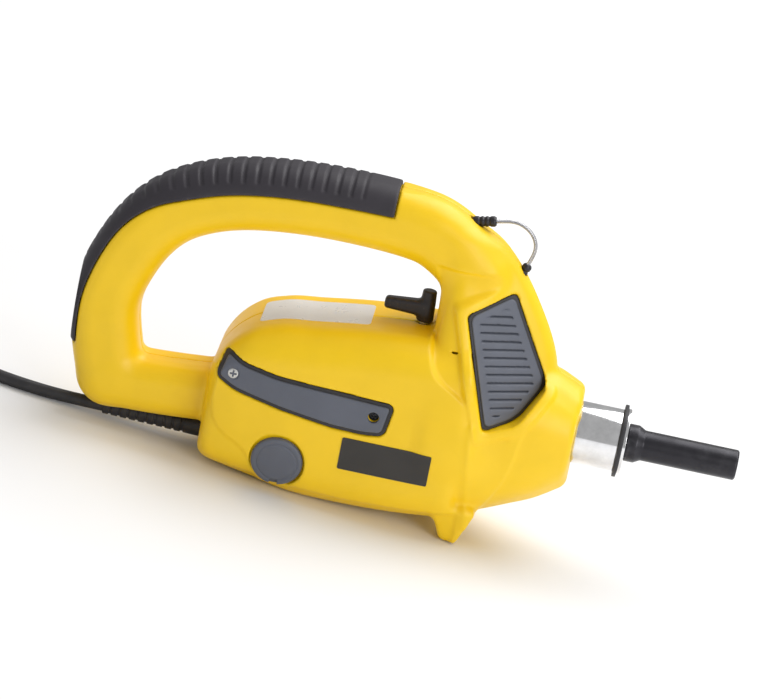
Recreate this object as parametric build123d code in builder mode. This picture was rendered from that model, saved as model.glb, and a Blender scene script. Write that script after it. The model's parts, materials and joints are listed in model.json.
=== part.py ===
from build123d import *
import os
from math import atan, atan2, cos, degrees, hypot, pi, radians, sin, tan

# Electric drive unit with a loop handle, for a vibrating concrete screed. Sizes are in millimetres.
#
# The tool is built in its own frame: +X along the motor axis towards the nose, +Z up from that
# axis, x = 0 on the front face of the snout and z = 0 on the motor axis. At the end every piece
# is stood on its feet by one and the same placement, which tips the nose up by STAND_PITCH.

# ---------------------------------------------------------------- driving dimensions
WALL = 3.0                      # thickness of the plastic shells
FLUSH = 0.6                     # how far trims and the grip stand proud of the shells
TRIM_DEPTH = 2.4                # depth of the pockets that trims lie in
RUN = 0.05                      # radial clearance of a running fit

SNOUT_RADIUS = 30.0
HANDLE_SIZE = 41.0              # the handle's rounded-square section
HANDLE_CORNER = 16.0
BAR_HEIGHT = 34.0               # the bar that ties the handle's foot to the body
STATOR_RADIUS = 35.0
STATOR_BORE = 20.0
ARMATURE_RADIUS = 19.4
SHAFT_RADIUS = 6.0
SPINDLE_RADIUS = 9.2
SPINDLE_END = 98.0
SLEEVE_RADIUS = 19.0
RING_RADIUS = 22.0
CORD_DIAMETER = 7.6

# Points that the tool rests on: the foot tips and the lowest line of the belly.
FOOT_X, FOOT_Z, FOOT_Y = -63.0, -75.0, 27.0
BELLY_X, BELLY_Z = -165.0, -64.9
STAND_PITCH = degrees(atan((BELLY_Z - FOOT_Z) / (FOOT_X - BELLY_X)))

# Stations of the motor body: x, top, bottom, half width, corner radius.
BODY_STATIONS = [
    (-221, 8, -54.0, 37.5, 14),
    (-212, 21, -56.2, 40.5, 15),
    (-203, 29.5, -58.0, 42.5, 17),
    (-187, 37.0, -61.2, 44.3, 21),
    (-165, 40.6, -65.3, 45.6, 22),
    (-131, 45.6, -66.4, 46.0, 22),
    (-100, 48.0, -65.2, 46.0, 22),
    (-64, 48.0, -61.5, 45.0, 22),
]
# Stations of the snout, from its front face back into the body.
SNOUT_STATIONS = [
    (0, 28.0, -33.0, SNOUT_RADIUS, 29.4),
    (-17.5, 35.0, -44.5, 35.0, 34.0),
    (-31, 37.5, -50.5, 37.5, 34.0),
    (-52, 40.0, -58.2, 40.5, 31.0),
    (-80, 41.0, -63.5, 42.0, 24.0),
]
# Stations of the front post, whose plan is a bullet: height, back edge and its half width,
# crease and its half width, nose edge and its half width.
POST_STATIONS = [
    (-44, -92, 36, -56, 37, -34, 24),
    (-26, -94, 46, -56, 46, -28, 27),
    (10, -95, 46, -67, 46, -20, 16),
    (37, -95.5, 38, -72.5, 38.4, -19, 7),
    (74, -96, 26, -80, 28, -36.5, 6),
    (97, -99, 19, -84, 21.5, -53.5, 6),
    (112, -104, 17, -86, 18.5, -69, 7),
]
# Centre line of the handle, from inside the front post over the top and down to the bar.
HANDLE_LINE = [
    (-78, 86), (-97, 104), (-128, 109.4), (-186, 109.6), (-236, 101.5),
    (-272, 80), (-292.5, 34), (-291, 5), (-282, -22),
]
BAR_LINE = [(-282, -25), (-255, -26), (-212, -21)]
# The grip covers the outer part of the handle, bounded by this edge in the side view.
GRIP_EDGE = [
    (-131, 114), (-180, 114.3), (-226, 108.4), (-256, 97.5), (-273, 89.5), (-288, 75),
    (-298, 55), (-305, 30), (-305.8, 10), (-304.5, -6),
]
VENT_CORNERS = [(-76.7, 67.1), (-52.4, 80.5), (-24.2, 29.8), (-37, 9.5), (-54.5, 3)]
STRIP_OUTLINE = [
    (-212, 19), (-200, 14), (-179, 10.6), (-143, 9.5), (-109, 8.2), (-112, -11.2),
    (-124, -12.8), (-143, -12.4), (-175, -8.4), (-204, -3), (-216, 2.5),
]
STRIP_SCREW, STRIP_HOLE = (-206, 6.5), (-119.5, -1)
CAP_CENTRE, CAP_RADIUS, CAP_LEAN = (-171, -44.4, -42), 15.8, 10
DECAL = ((-135, -81), (-37, -17))
PLATE = ((-198, -133), (-17.5, 17.5))

# Everything on the motor axis, as stretches of x.
REAR_BEARING = (-210, -202)
COMMUTATOR = (-198, -184)
STATOR_STACK = (-174, -116)
FAN = (-91, -78)
FRONT_BEARING = (-72, -64)
SHAFT_JOINT = -50.0
NOSE_BEARING = (-36, -27)
SEAL = (-26.5, -20.5)
NOSE_HOUSING_BACK, NOSE_HOUSING_FRONT = -74.0, -3.0
COUPLING_FLANGE = (-18, -12)
SLEEVE = (-2, 25.6)

SWITCH_X = -102.6               # the rotary switch stands across the motor axis here
SWITCH_TOP = 40.0

# Clamshell screws, as places in the side view.
SCREW_SPOTS = [
    (-280, -25), (-283, 66), (-222, 104), (-128, 109.4), (-76, 90),
    (-214, -30), (-86, -52), (-204.5, 19.5),
]


# ---------------------------------------------------------------- helpers
def across(x):
    """The plane across the tool at x, with Y to the right and Z up."""
    return Plane.YZ.offset(x)


def side_plane(y=0):
    """The plane of the side view at y, with X to the right and Z up."""
    return Plane(origin=(0, y, 0), x_dir=(1, 0, 0), z_dir=(0, -1, 0))


def rod(x_from, x_to, radius, y=0, z=0):
    """A private cylinder along the motor axis."""
    length = x_to - x_from
    return Pos((x_from + x_to) / 2, y, z) * Rot(0, 90, 0) * Cylinder(radius, length, mode=Mode.PRIVATE)


def tube(x_from, x_to, outer, inner):
    """A private ring about the motor axis."""
    return rod(x_from, x_to, outer) - rod(x_from - 1, x_to + 1, inner)


def block(x, y, z):
    """A private box given by its (low, high) ranges."""
    size = [high - low for low, high in (x, y, z)]
    middle = [(high + low) / 2 for low, high in (x, y, z)]
    return Pos(*middle) * Box(*size, mode=Mode.PRIVATE)


def slab(outline, y_from, y_to):
    """A closed outline of the side view, extruded from one y to another."""
    with BuildPart() as made:
        with BuildSketch(side_plane(y_to)):
            with BuildLine():
                Polyline(*outline, close=True)
            make_face()
        extrude(amount=y_to - y_from)
    return made.part


def body_loft(stations, grow=0.0):
    """A body through rounded rectangles across the tool, grown all round by grow."""
    with BuildPart() as made:
        for x, top, bottom, half_width, radius in stations:
            with BuildSketch(across(x)):
                with Locations((0, (top + bottom) / 2)):
                    RectangleRounded(2 * (half_width + grow), top - bottom + 2 * grow, radius + grow)
        loft()
    return made.part


def post_loft(grow=0.0):
    """The front post: bullet-shaped plans joined from the belly up to the handle."""
    with BuildPart() as made:
        for z, back, back_half, crease, crease_half, nose, nose_half in POST_STATIONS:
            corners = [
                (back, -back_half), (crease, -crease_half), (nose, -nose_half),
                (nose, nose_half), (crease, crease_half), (back, back_half),
            ]
            with BuildSketch(Plane.XY.offset(z)):
                with BuildLine():
                    FilletPolyline(*corners, radius=[9, 5, 5, 5, 5, 9], close=True)
                make_face()
                if grow:
                    offset(amount=grow)
        loft(ruled=True)
    return made.part


def arc_radii(points):
    """One radius for each inner point: 0.45 of the shorter run, over the tangent of half the turn."""
    radii = []
    for before, here, after in zip(points, points[1:], points[2:]):
        arriving, leaving = Vector(*here) - Vector(*before), Vector(*after) - Vector(*here)
        half_turn = radians(arriving.get_angle(leaving) / 2)
        radii.append(0.45 * min(arriving.length, leaving.length) / tan(half_turn))
    return radii


def side_path(points):
    """A smooth path in the plane y = 0 through a list of side-view points."""
    route = [(x, 0, z) for x, z in points]
    with BuildLine() as line:
        FilletPolyline(*route, radius=arc_radii(route))
    return line


def handle_sweep(grow=0.0, core=0.0):
    """The handle's loop: a rounded square swept along HANDLE_LINE, or a round core of it."""
    path = side_path(HANDLE_LINE)
    plane = Plane(origin=path.line @ 0, x_dir=(0, 1, 0), z_dir=path.line % 0)
    with BuildPart() as made:
        with BuildSketch(plane):
            if core:
                Circle(core)
            else:
                side = HANDLE_SIZE + 2 * grow
                RectangleRounded(side, side, HANDLE_CORNER + grow)
        sweep(path=path.line)
    return made.part


def about_motor_axis(piece, count, start=0.0):
    """Copies of a piece, spaced evenly round the motor axis."""
    return [Rot(start + 360 * k / count, 0, 0) * piece for k in range(count)]


def mirrored(piece):
    """The same piece on the other side of the tool."""
    return piece.mirror(Plane.XZ)


def coil_spring(radius, wire, length, turns):
    """A private helical spring standing on XY, with its axis along Z."""
    with BuildPart() as made:
        with BuildLine() as line:
            Helix(pitch=(length - 2 * wire) / turns, height=length - 2 * wire, radius=radius)
        start = Plane(origin=line.line @ 0, z_dir=line.line % 0)
        with BuildSketch(start):
            Circle(wire)
        sweep(path=line.line, is_frenet=True)
    return Pos(0, 0, wire) * made.part


def inset_slab(outline, amount, y_from, y_to):
    """As slab, of an outline moved inwards by amount."""
    with BuildPart() as made:
        with BuildSketch(side_plane(y_to)):
            with BuildLine():
                Polyline(*outline, close=True)
            make_face()
            offset(amount=-amount, kind=Kind.INTERSECTION)
        extrude(amount=y_to - y_from)
    return made.part


pieces = {}                     # every finished node, still in the tool's own frame
cord_pieces = {}                # the free cord and what is on it, already on the floor


def keep(name, part):
    """Keeps a finished piece, of one solid or of several alike, for the export."""
    pieces[name] = part.solids()


# ---------------------------------------------------------------- outer shape of the shells
body_shape = body_loft(BODY_STATIONS)
snout_shape = body_loft(SNOUT_STATIONS)
post_shape = post_loft()
handle_shape = handle_sweep()

with BuildPart() as bar_shape:
    bar_path = side_path(BAR_LINE).line
    with BuildSketch(Plane(origin=bar_path @ 0, x_dir=(0, 1, 0), z_dir=bar_path % 0)):
        RectangleRounded(HANDLE_SIZE, BAR_HEIGHT, 13)
    sweep(path=bar_path)

with BuildPart() as heel_shape:
    heel = Plane(origin=(BAR_LINE[0][0], 0, BAR_LINE[0][1] + 1), z_dir=(0, 1, 0))
    with Locations(heel):
        Cylinder(BAR_HEIGHT / 2 + 0.8, HANDLE_SIZE - 1.0)
    fillet(heel_shape.edges().filter_by(GeomType.CIRCLE), 13)

with BuildPart() as feet_shape:
    for side in (-1, 1):
        for z, length, width in ((FOOT_Z + 22, 27, 26), (FOOT_Z - 2, 9, 13)):
            with BuildSketch(Plane.XY.offset(z)):
                with Locations((FOOT_X, side * FOOT_Y)):
                    RectangleRounded(length, width, 3.5)
        loft(ruled=True)

floor_plane = Plane(origin=(FOOT_X, 0, FOOT_Z)).rotated((0, STAND_PITCH, 0))
below_floor = floor_plane.location * Pos(0, 0, -50) * Box(900, 300, 100, mode=Mode.PRIVATE)

outer = (
    body_shape + snout_shape + post_shape + handle_shape
    + bar_shape.part + heel_shape.part + feet_shape.part
)
outer = outer - below_floor

# ---------------------------------------------------------------- pockets for trims and the grip
body_inner = body_loft(BODY_STATIONS, -TRIM_DEPTH)
post_inner = post_loft(-TRIM_DEPTH)
handle_inner = handle_sweep(-TRIM_DEPTH)
far_corner = [(-345, GRIP_EDGE[-1][1]), (-345, 150), (GRIP_EDGE[0][0], 150)]
grip_zone = slab(GRIP_EDGE + far_corner, -32, 32)
grip_pocket = grip_zone - handle_inner

GAP = 0.5                       # the dark line round a trim
vent_zone = slab(VENT_CORNERS, -60, -3)
vent_pocket = vent_zone - post_inner
vent_duct = inset_slab(VENT_CORNERS, 5, -60, -20)
air_passage = block((-82, -62), (-33, -20), (30, 45))
strip_zone = slab(STRIP_OUTLINE, -60, -26)
strip_pocket = strip_zone - body_inner
cap_place = Location(CAP_CENTRE, (90 + CAP_LEAN, 0, 0))
cap_pocket = cap_place * Pos(0, 0, 5) * Cylinder(CAP_RADIUS + GAP, 16, mode=Mode.PRIVATE)

# ---------------------------------------------------------------- hollow shells
SPINDLE_HOLE = 3.6
POST_WALL = 4.5
NOSE_RIB = 27.5                 # the rib that carries the nose housing's barrel
post_hollow = post_loft(-POST_WALL) & block((-90, -25), (-30, 30), (41, 82))
snout_hollow = body_loft(SNOUT_STATIONS, -WALL) & block((-60, -9), (-50, 50), (-60, 50))
snout_hollow = snout_hollow - rod(-62, 0, NOSE_RIB)
BAR_CORE = rod(-268, -222, 10, z=-26)
hollows = [
    rod(-210, -200, 14),                              # rear bearing seat
    rod(-213, -209, 8),                               # room behind the shaft's end
    rod(-200, -193, 22),                              # rear end of the commutator
    rod(-193, -176, 31),                              # brushes and commutator
    rod(-176, -94, STATOR_RADIUS),                    # stator seat
    rod(-94, NOSE_HOUSING_BACK, 37.5),                # fan chamber
    rod(NOSE_HOUSING_BACK, -62, 34),                  # flange of the nose housing
    rod(-62, NOSE_HOUSING_FRONT, 24),                 # barrel of the nose housing
    rod(NOSE_HOUSING_FRONT, 1, SLEEVE_RADIUS + 1.2),  # lip round the coupling sleeve
    block((-196, -82), (-28, 28), (-57, -38)),        # wiring compartment
    block((-193, -185), (18, 26), (-40, -10)),        # way up for the wires
    block((-114, -92), (-14, 14), (28, SWITCH_TOP)),  # rotary switch
    block((-196, -186), (-38, 38), (-6, 6)),          # brush holders
    block((-217, -214), (-8.5, 8.5), (-52.5, -40)),   # flange of the strain relief
    block((-214, -196), (-10, 10), (-46.8, -38.5)),   # cord clamp
    handle_sweep(core=12.5),
    BAR_CORE,
    post_hollow,
    snout_hollow,
]
for hollow in hollows:
    outer = outer - hollow

BOSS_RADIUS, SCREW_SHANK, SCREW_HEAD, HEAD_SEAT = 5.5, 2.0, 3.8, 9.0


def across_rod(x, z, y_from, y_to, radius):
    """A private cylinder along Y."""
    middle = Pos(x, (y_from + y_to) / 2, z)
    return middle * Rot(90, 0, 0) * Cylinder(radius, y_to - y_from, mode=Mode.PRIVATE)


solid_skin = body_shape + post_shape + handle_shape + bar_shape.part + heel_shape.part
for x, z in SCREW_SPOTS:
    boss = across_rod(x, z, -44, 44, BOSS_RADIUS) & solid_skin
    outer = outer + boss
for x, z in SCREW_SPOTS:
    outer = outer - across_rod(x, z, -14, HEAD_SEAT, SCREW_SHANK)
    outer = outer - across_rod(x, z, HEAD_SEAT, 60, SCREW_HEAD + 0.3)

outer = outer - grip_pocket
for side_cut in (vent_pocket, vent_duct, air_passage, strip_pocket, cap_pocket):
    outer = outer - side_cut - mirrored(side_cut)

CORD_Z = -46.8                  # height of the cord's axis where it enters the body
RELIEF_BACK, RELIEF_ROOT, RELIEF_TIP = -283, 6.5, 4.9
CORD_RADIUS = CORD_DIAMETER / 2
CLAMP_SCREW_Y = 6.8
outer = outer - rod(-295, -216, RELIEF_ROOT, z=CORD_Z) - rod(-217, -199, CORD_RADIUS, z=CORD_Z)
for y in (-CLAMP_SCREW_Y, CLAMP_SCREW_Y):
    outer = outer - Pos(-208, y, -49.5) * Cylinder(1.3, 6, mode=Mode.PRIVATE)
outer = outer - Pos(SWITCH_X, 0, 48) * Cylinder(SPINDLE_HOLE + 0.25, 20, mode=Mode.PRIVATE)

INTAKE_SLOTS = 5                # air comes in through the belly, under the brushes
for k in range(INTAKE_SLOTS):
    outer = outer - block((-188 + 9 * k, -184 + 9 * k), (-20, 20), (-80, -50))

FERRULES = [((-86, 116.0), (-72.3, 118.9), 3.2), ((-54.2, 84.5), (-48.6, 96.6), 2.9)]


def side_rod(start, end, radius):
    """A private cylinder in the plane y = 0, between two side-view points."""
    (x0, z0), (x1, z1) = start, end
    lean = degrees(atan2(x1 - x0, z1 - z0))
    turned = Rot(0, lean, 0) * Cylinder(radius, hypot(x1 - x0, z1 - z0), mode=Mode.PRIVATE)
    return Pos((x0 + x1) / 2, 0, (z0 + z1) / 2) * turned


for start, end, radius in FERRULES:
    outer = outer - side_rod(start, end, radius)

rear_hole = across_rod(*STRIP_SCREW, -50, -28, 1.6)
front_hole = across_rod(*STRIP_HOLE, -50, -37, 3.2)
for screw_hole in (rear_hole, front_hole):
    outer = outer - screw_hole - mirrored(screw_hole)

keep("housing_left", split(outer, bisect_by=Plane.XZ, keep=Keep.BOTTOM))
keep("housing_right", split(outer, bisect_by=Plane.XZ, keep=Keep.TOP))

# ---------------------------------------------------------------- trims
keep("handle_grip", (grip_zone & handle_sweep(FLUSH)) - handle_inner)

post_proud = post_loft(FLUSH)
vent_panel = (inset_slab(VENT_CORNERS, GAP, -60, -3) & post_proud) - post_inner
slit_zone = inset_slab(VENT_CORNERS, 6, -60, -3)
SLIT, SLIT_PITCH, SLITS = 1.4, 5.2, 11
for k in range(SLITS):
    low = 12 + SLIT_PITCH * k
    vent_panel = vent_panel - (slit_zone & block((-90, -10), (-60, 0), (low, low + SLIT)))
keep("vent_panel_right", vent_panel)
keep("vent_panel_left", mirrored(vent_panel))

body_proud = body_loft(BODY_STATIONS, FLUSH)
strip = (inset_slab(STRIP_OUTLINE, GAP, -60, -26) & body_proud) - body_inner
rear_screw = across_rod(*STRIP_SCREW, -42.6, -40.6, 3.3) + across_rod(*STRIP_SCREW, -40.6, -30, 1.6)
front_screw = across_rod(*STRIP_HOLE, -43.4, -41.4, 3.0) + across_rod(*STRIP_HOLE, -41.4, -37.5, 1.6)
strip = strip - rear_screw - across_rod(*STRIP_SCREW, -60, -42, 3.3)
strip = strip - across_rod(*STRIP_HOLE, -60, -40, 3.2)
keep("side_strip_right", strip)
keep("side_strip_left", mirrored(strip))
keep("strip_rear_screws", rear_screw + mirrored(rear_screw))
keep("strip_front_screws", front_screw + mirrored(front_screw))

with BuildPart() as cap:
    Cylinder(CAP_RADIUS, 3.6)
    fillet(cap.faces().sort_by(Axis.Z)[-1].edges(), 1.2)
    with Locations((0, 2 - CAP_RADIUS, 1.2)):
        Box(5, 5, 1.6, mode=Mode.SUBTRACT)
round_cap = cap_place * Pos(0, 0, -1.2) * cap.part
keep("round_cap_right", round_cap)
keep("round_cap_left", mirrored(round_cap))

film = body_loft(BODY_STATIONS, 0.3)
(decal_x, decal_z), (plate_x, plate_y) = DECAL, PLATE
decal = (block(decal_x, (-60, -30), decal_z) & film) - body_shape - post_shape
keep("side_decals", decal + mirrored(decal))
keep("rating_plate", (block(plate_x, plate_y, (20, 60)) & film) - body_shape)

with BuildPart() as screws:
    for x, z in SCREW_SPOTS:
        add(across_rod(x, z, -13, HEAD_SEAT, SCREW_SHANK))
        add(across_rod(x, z, HEAD_SEAT, HEAD_SEAT + 3.2, SCREW_HEAD))
keep("housing_screws", screws.part)

# ---------------------------------------------------------------- hanging loop
LOOP_WIRE = 1.2
LOOP_LINE = [
    (-84, 116.4), (-72, 119), (-60.5, 121.6), (-50.5, 117), (-45.6, 108), (-48.9, 96), (-53, 87),
]
loop_path = side_path(LOOP_LINE).line
with BuildPart() as loop:
    with BuildSketch(Plane(origin=loop_path @ 0, z_dir=loop_path % 0)):
        Circle(LOOP_WIRE)
    sweep(path=loop_path)
keep("hanging_loop", loop.part)
ferrules = side_rod(*FERRULES[0]) + side_rod(*FERRULES[1])
keep("loop_ferrules", ferrules - loop.part)

# ---------------------------------------------------------------- bearings and everything that turns
def bearing(name, span, bore, outside, ball_radius, balls):
    """A deep-groove ball bearing as three nodes; the balls go round with the inner race."""
    pitch, middle = (bore + outside) / 2, sum(span) / 2
    shoulder = 0.62 * ball_radius
    groove = Pos(middle, 0, 0) * Rot(0, 90, 0) * Torus(pitch, ball_radius + RUN, mode=Mode.PRIVATE)
    ball = Pos(middle, 0, pitch) * Sphere(ball_radius, mode=Mode.PRIVATE)
    keep(f"{name}_bearing_outer", tube(*span, outside, pitch + shoulder) - groove)
    keep(f"{name}_bearing_inner", tube(*span, pitch - shoulder, bore) - groove)
    keep(f"{name}_bearing_balls", Part() + about_motor_axis(ball, balls))


bearing("rear", REAR_BEARING, SHAFT_RADIUS, 14, 2.4, 8)
bearing("front", FRONT_BEARING, SHAFT_RADIUS, 14, 2.4, 8)
bearing("nose", NOSE_BEARING, 7.5, 16, 2.4, 9)

keep("armature_shaft", rod(-211, SHAFT_JOINT, SHAFT_RADIUS))
bar_gap = block((COMMUTATOR[0] - 1, COMMUTATOR[1] + 1), (-0.3, 0.3), (13, 15))
keep("commutator", tube(*COMMUTATOR, 14, SHAFT_RADIUS) - about_motor_axis(bar_gap, 24))
SLOTS, SLOT_WIDTH, SLOT_FLOOR, SLOT_TOP = 12, 3.0, 11.0, 18.4
core = tube(*STATOR_STACK, ARMATURE_RADIUS, SHAFT_RADIUS)
slot = block(STATOR_STACK, (-SLOT_WIDTH / 2, SLOT_WIDTH / 2), (SLOT_FLOOR, SLOT_TOP))
mouth = block(STATOR_STACK, (-0.8, 0.8), (SLOT_TOP - 0.5, ARMATURE_RADIUS + 1))
keep("armature_core", core - about_motor_axis(slot, SLOTS) - about_motor_axis(mouth, SLOTS))
END_TURN = 7.0
windings = Part() + about_motor_axis(slot, SLOTS)
for x in (STATOR_STACK[0] - END_TURN, STATOR_STACK[1]):
    windings = windings + tube(x, x + END_TURN, 18.0, 8.0)
keep("armature_windings", windings)

fan = tube(*FAN, 10, SHAFT_RADIUS) + tube(FAN[0], FAN[0] + 1.6, 34, SHAFT_RADIUS)
blade = block((FAN[0] + 1, FAN[1] - 1), (-0.8, 0.8), (9, 33.5))
keep("cooling_fan", fan + about_motor_axis(blade, 9))
keep("shaft_coupler", tube(-60, -40, 10.5, SHAFT_RADIUS))

COLLAR = (30.5, 36.5)
with BuildPart() as spindle:
    with BuildSketch(side_plane()):
        with BuildLine():
            Polyline(
                (SHAFT_JOINT, 0), (SHAFT_JOINT, SHAFT_RADIUS), (-40, SHAFT_RADIUS), (-40, 7.5),
                (-18, 7.5), (-18, 8.5), (COLLAR[0], 8.5), (COLLAR[0], 11.4), (COLLAR[1], 11.4),
                (COLLAR[1] + 4, SPINDLE_RADIUS), (SPINDLE_END - 1, SPINDLE_RADIUS),
                (SPINDLE_END, SPINDLE_RADIUS - 1), (SPINDLE_END, 3), (SPINDLE_END - 8, 3),
                (SPINDLE_END - 10, 0), close=True,
            )
        make_face()
    revolve(axis=Axis.X)
keep("output_shaft", spindle.part)

# ---------------------------------------------------------------- motor parts that stand still
stator = tube(*STATOR_STACK, STATOR_RADIUS, STATOR_BORE)
winding_band = tube(*STATOR_STACK, 29.5, 22)
side_window = block(STATOR_STACK, (-40, 40), (-10.5, 10.5)) & winding_band
keep("stator_core", stator - side_window)
field = side_window
for x in (STATOR_STACK[0] - END_TURN, STATOR_STACK[1]):
    field = field + tube(x, x + END_TURN, 29.5, 22)
keep("stator_windings", field)

holders, brushes, springs = Part(), Part(), Part()
for side in (0, 180):
    turn = Rot(side, 0, 0)
    holder = block((-196, -186), (16, 38), (-6, 6)) - block((-194.2, -187.8), (15, 36.5), (-4.2, 4.2))
    holders = holders + turn * holder
    brushes = brushes + turn * block((-194.2, -187.8), (14.1, 27), (-4.2, 4.2))
    one_spring = Pos(-191, 27, 0) * Rot(-90, 0, 0) * coil_spring(2.3, 0.35, 9.5, 6)
    springs = springs + turn * one_spring
keep("brush_holders", holders)
keep("carbon_brushes", brushes)
keep("brush_springs", springs)

# ---------------------------------------------------------------- nose and coupling
with BuildPart() as nose:
    with BuildSketch(side_plane()):
        with BuildLine():
            Polyline(
                (-74, 14), (-74, 34), (-62, 34), (-62, 24), (-3, 24), (-3, 22.5), (-18, 22.5),
                (-18, 16), (-36, 16), (-36, 12), (-62, 12), (-62, 9), (-64, 9), (-64, 14), close=True,
            )
        make_face()
    revolve(axis=Axis.X)
FLANGE_SCREW_RADIUS = 19.2
flange_screw = rod(-18, -12, 1.5, z=FLANGE_SCREW_RADIUS) + rod(-25, -18, 1.5, z=FLANGE_SCREW_RADIUS)
flange_head = rod(-13.8, -12, 2.7, z=FLANGE_SCREW_RADIUS)
flange_screws = about_motor_axis(flange_screw + flange_head, 4, 45)
keep("nose_bearing_housing", nose.part - flange_screws)
keep("coupling_screws", Part() + flange_screws)
keep("shaft_seal", tube(*SEAL, 16, 7.5 + RUN))

BALL_X, BALLS = 18, 4
ball_hole = Pos(BALL_X, 0, 12) * Cylinder(2.25, 6, mode=Mode.PRIVATE)
coupling = tube(*COUPLING_FLANGE, 22.5, 9.7) + tube(COUPLING_FLANGE[1], 24, 14, 9.7)
keep("coupling_body", coupling - about_motor_axis(ball_hole, BALLS) - flange_screws)
locking_ball = Pos(BALL_X, 0, 11.9) * Sphere(2.2, mode=Mode.PRIVATE)
keep("locking_balls", Part() + about_motor_axis(locking_ball, BALLS))

SLEEVE_BORE, SPRING_ROOM = 14.35, 17.3
sleeve = tube(SLEEVE[0], 12, SLEEVE_RADIUS, SPRING_ROOM) + tube(12, SLEEVE[1], SLEEVE_RADIUS, SLEEVE_BORE)
sleeve = sleeve + tube(SLEEVE[1], 30, 16, SLEEVE_BORE) + tube(28, 30, 20, SLEEVE_BORE)
keep("coupling_sleeve", sleeve)
keep("sleeve_ring", tube(SLEEVE[1], 28, RING_RADIUS, 16))
spring_span = (COUPLING_FLANGE[1], 12)
spring_part = coil_spring(15.7, 0.9, spring_span[1] - spring_span[0], 8)
keep("coupling_spring", Pos(spring_span[0], 0, 0) * Rot(0, 90, 0) * spring_part)

# ---------------------------------------------------------------- switch, wiring and cord entry
SWITCH_FLOOR = 30.0
switch = block((-114, -92), (-14, 14), (SWITCH_FLOOR, SWITCH_TOP))
switch = switch - Pos(SWITCH_X, 0, 36.5) * Cylinder(SPINDLE_HOLE + RUN, 9, mode=Mode.PRIVATE)
keep("switch_body", switch)
HUB_FLOOR, HUB_TOP = 51.0, 68.6
switch_pin = Pos(SWITCH_X, 0, (32.2 + 60) / 2) * Cylinder(SPINDLE_HOLE, 60 - 32.2, mode=Mode.PRIVATE)
keep("switch_spindle", switch_pin)
with BuildPart() as lever:
    with BuildSketch(Plane.XY.offset(51)):
        with Locations((-113.8, 0)):
            RectangleRounded(28.4, 9, 3)
    extrude(amount=10)
    fillet(lever.edges().group_by(Axis.Z)[-1], 1.5)
    with BuildSketch(Plane.XY.offset(HUB_FLOOR)):
        with Locations((SWITCH_X, 0)):
            Circle(4.6)
    extrude(amount=HUB_TOP - HUB_FLOOR)
    fillet(lever.edges().group_by(Axis.Z)[-1], 1)
keep("switch_lever", lever.part - switch_pin)

keep("capacitor", rod(-180, -146, 8, y=14, z=-48))
terminals = block((-194, -172), (-24, -4), (-57, -46))
keep("terminal_block", terminals)
lead_in = rod(-196, -194, 1.2, y=-8, z=-48) + rod(-172, -150, 1.2, y=-14, z=-50)
keep("wiring", lead_in)

CLAMP_X = (-211, -205)
clamp = block(CLAMP_X, (-9, 9), (-46.8, -41)) - rod(-283, -198, CORD_RADIUS, z=CORD_Z)
clamp_screws = [
    Pos(-208, y, -46.5) * Cylinder(1.3, 10.8, mode=Mode.PRIVATE)
    + Pos(-208, y, -40.1) * Cylinder(2.1, 2.0, mode=Mode.PRIVATE)
    for y in (-CLAMP_SCREW_Y, CLAMP_SCREW_Y)
]
keep("cord_clamp", clamp - clamp_screws)
keep("clamp_screws", Part() + clamp_screws)
with BuildPart() as relief:
    with BuildSketch(side_plane()):
        with BuildLine():
            Polyline(
                (RELIEF_BACK, 0), (RELIEF_BACK, RELIEF_TIP), (-223, RELIEF_ROOT), (-217, RELIEF_ROOT),
                (-217, 0), close=True,
            )
        make_face()
    revolve(axis=Axis.X)
relief_shape = Pos(0, 0, CORD_Z) * relief.part + block((-217, -214), (-8.5, 8.5), (-52.5, -40))
keep("cord_strain_relief", relief_shape - rod(-290, -213, CORD_RADIUS, z=CORD_Z))
keep("cord_inner_end", rod(RELIEF_BACK, -199, CORD_RADIUS, z=CORD_Z))

# ---------------------------------------------------------------- standing on the floor
tipped = Rot(0, -STAND_PITCH, 0)
boxes = [(tipped * solid).bounding_box() for solids in pieces.values() for solid in solids]
x_low, x_high = min(box.min.X for box in boxes), max(box.max.X for box in boxes)
z_low = min(box.min.Z for box in boxes)
stand = Pos(-(x_low + x_high) / 2, 0, -z_low) * tipped


def stood(x, y, z):
    """Where a point of the tool's frame comes to when the tool stands on the floor."""
    return (stand * Pos(x, y, z)).position


# ---------------------------------------------------------------- the free cord
# From here on everything is in the standing frame, with the floor at z = 0.
COIL_CENTRE, COIL_MEAN_RADIUS = (-338, -8), 46.5
COIL_SLOTS, COIL_ROWS = 4, 4
COIL_PITCH = 1.03 * CORD_DIAMETER
TIE_THICKNESS, TIE_WIDTH = 1.2, 11.0
COIL_FLOOR = TIE_THICKNESS + CORD_RADIUS    # height of the lowest turns' centre
COIL_TOP = COIL_FLOOR + (COIL_ROWS - 1) * COIL_PITCH


def at_coil(angle, radius, height):
    """A point given by its angle in degrees and its distance from the coil's middle."""
    x, y = COIL_CENTRE
    return (x + radius * cos(radians(angle)), y + radius * sin(radians(angle)), height)


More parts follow.
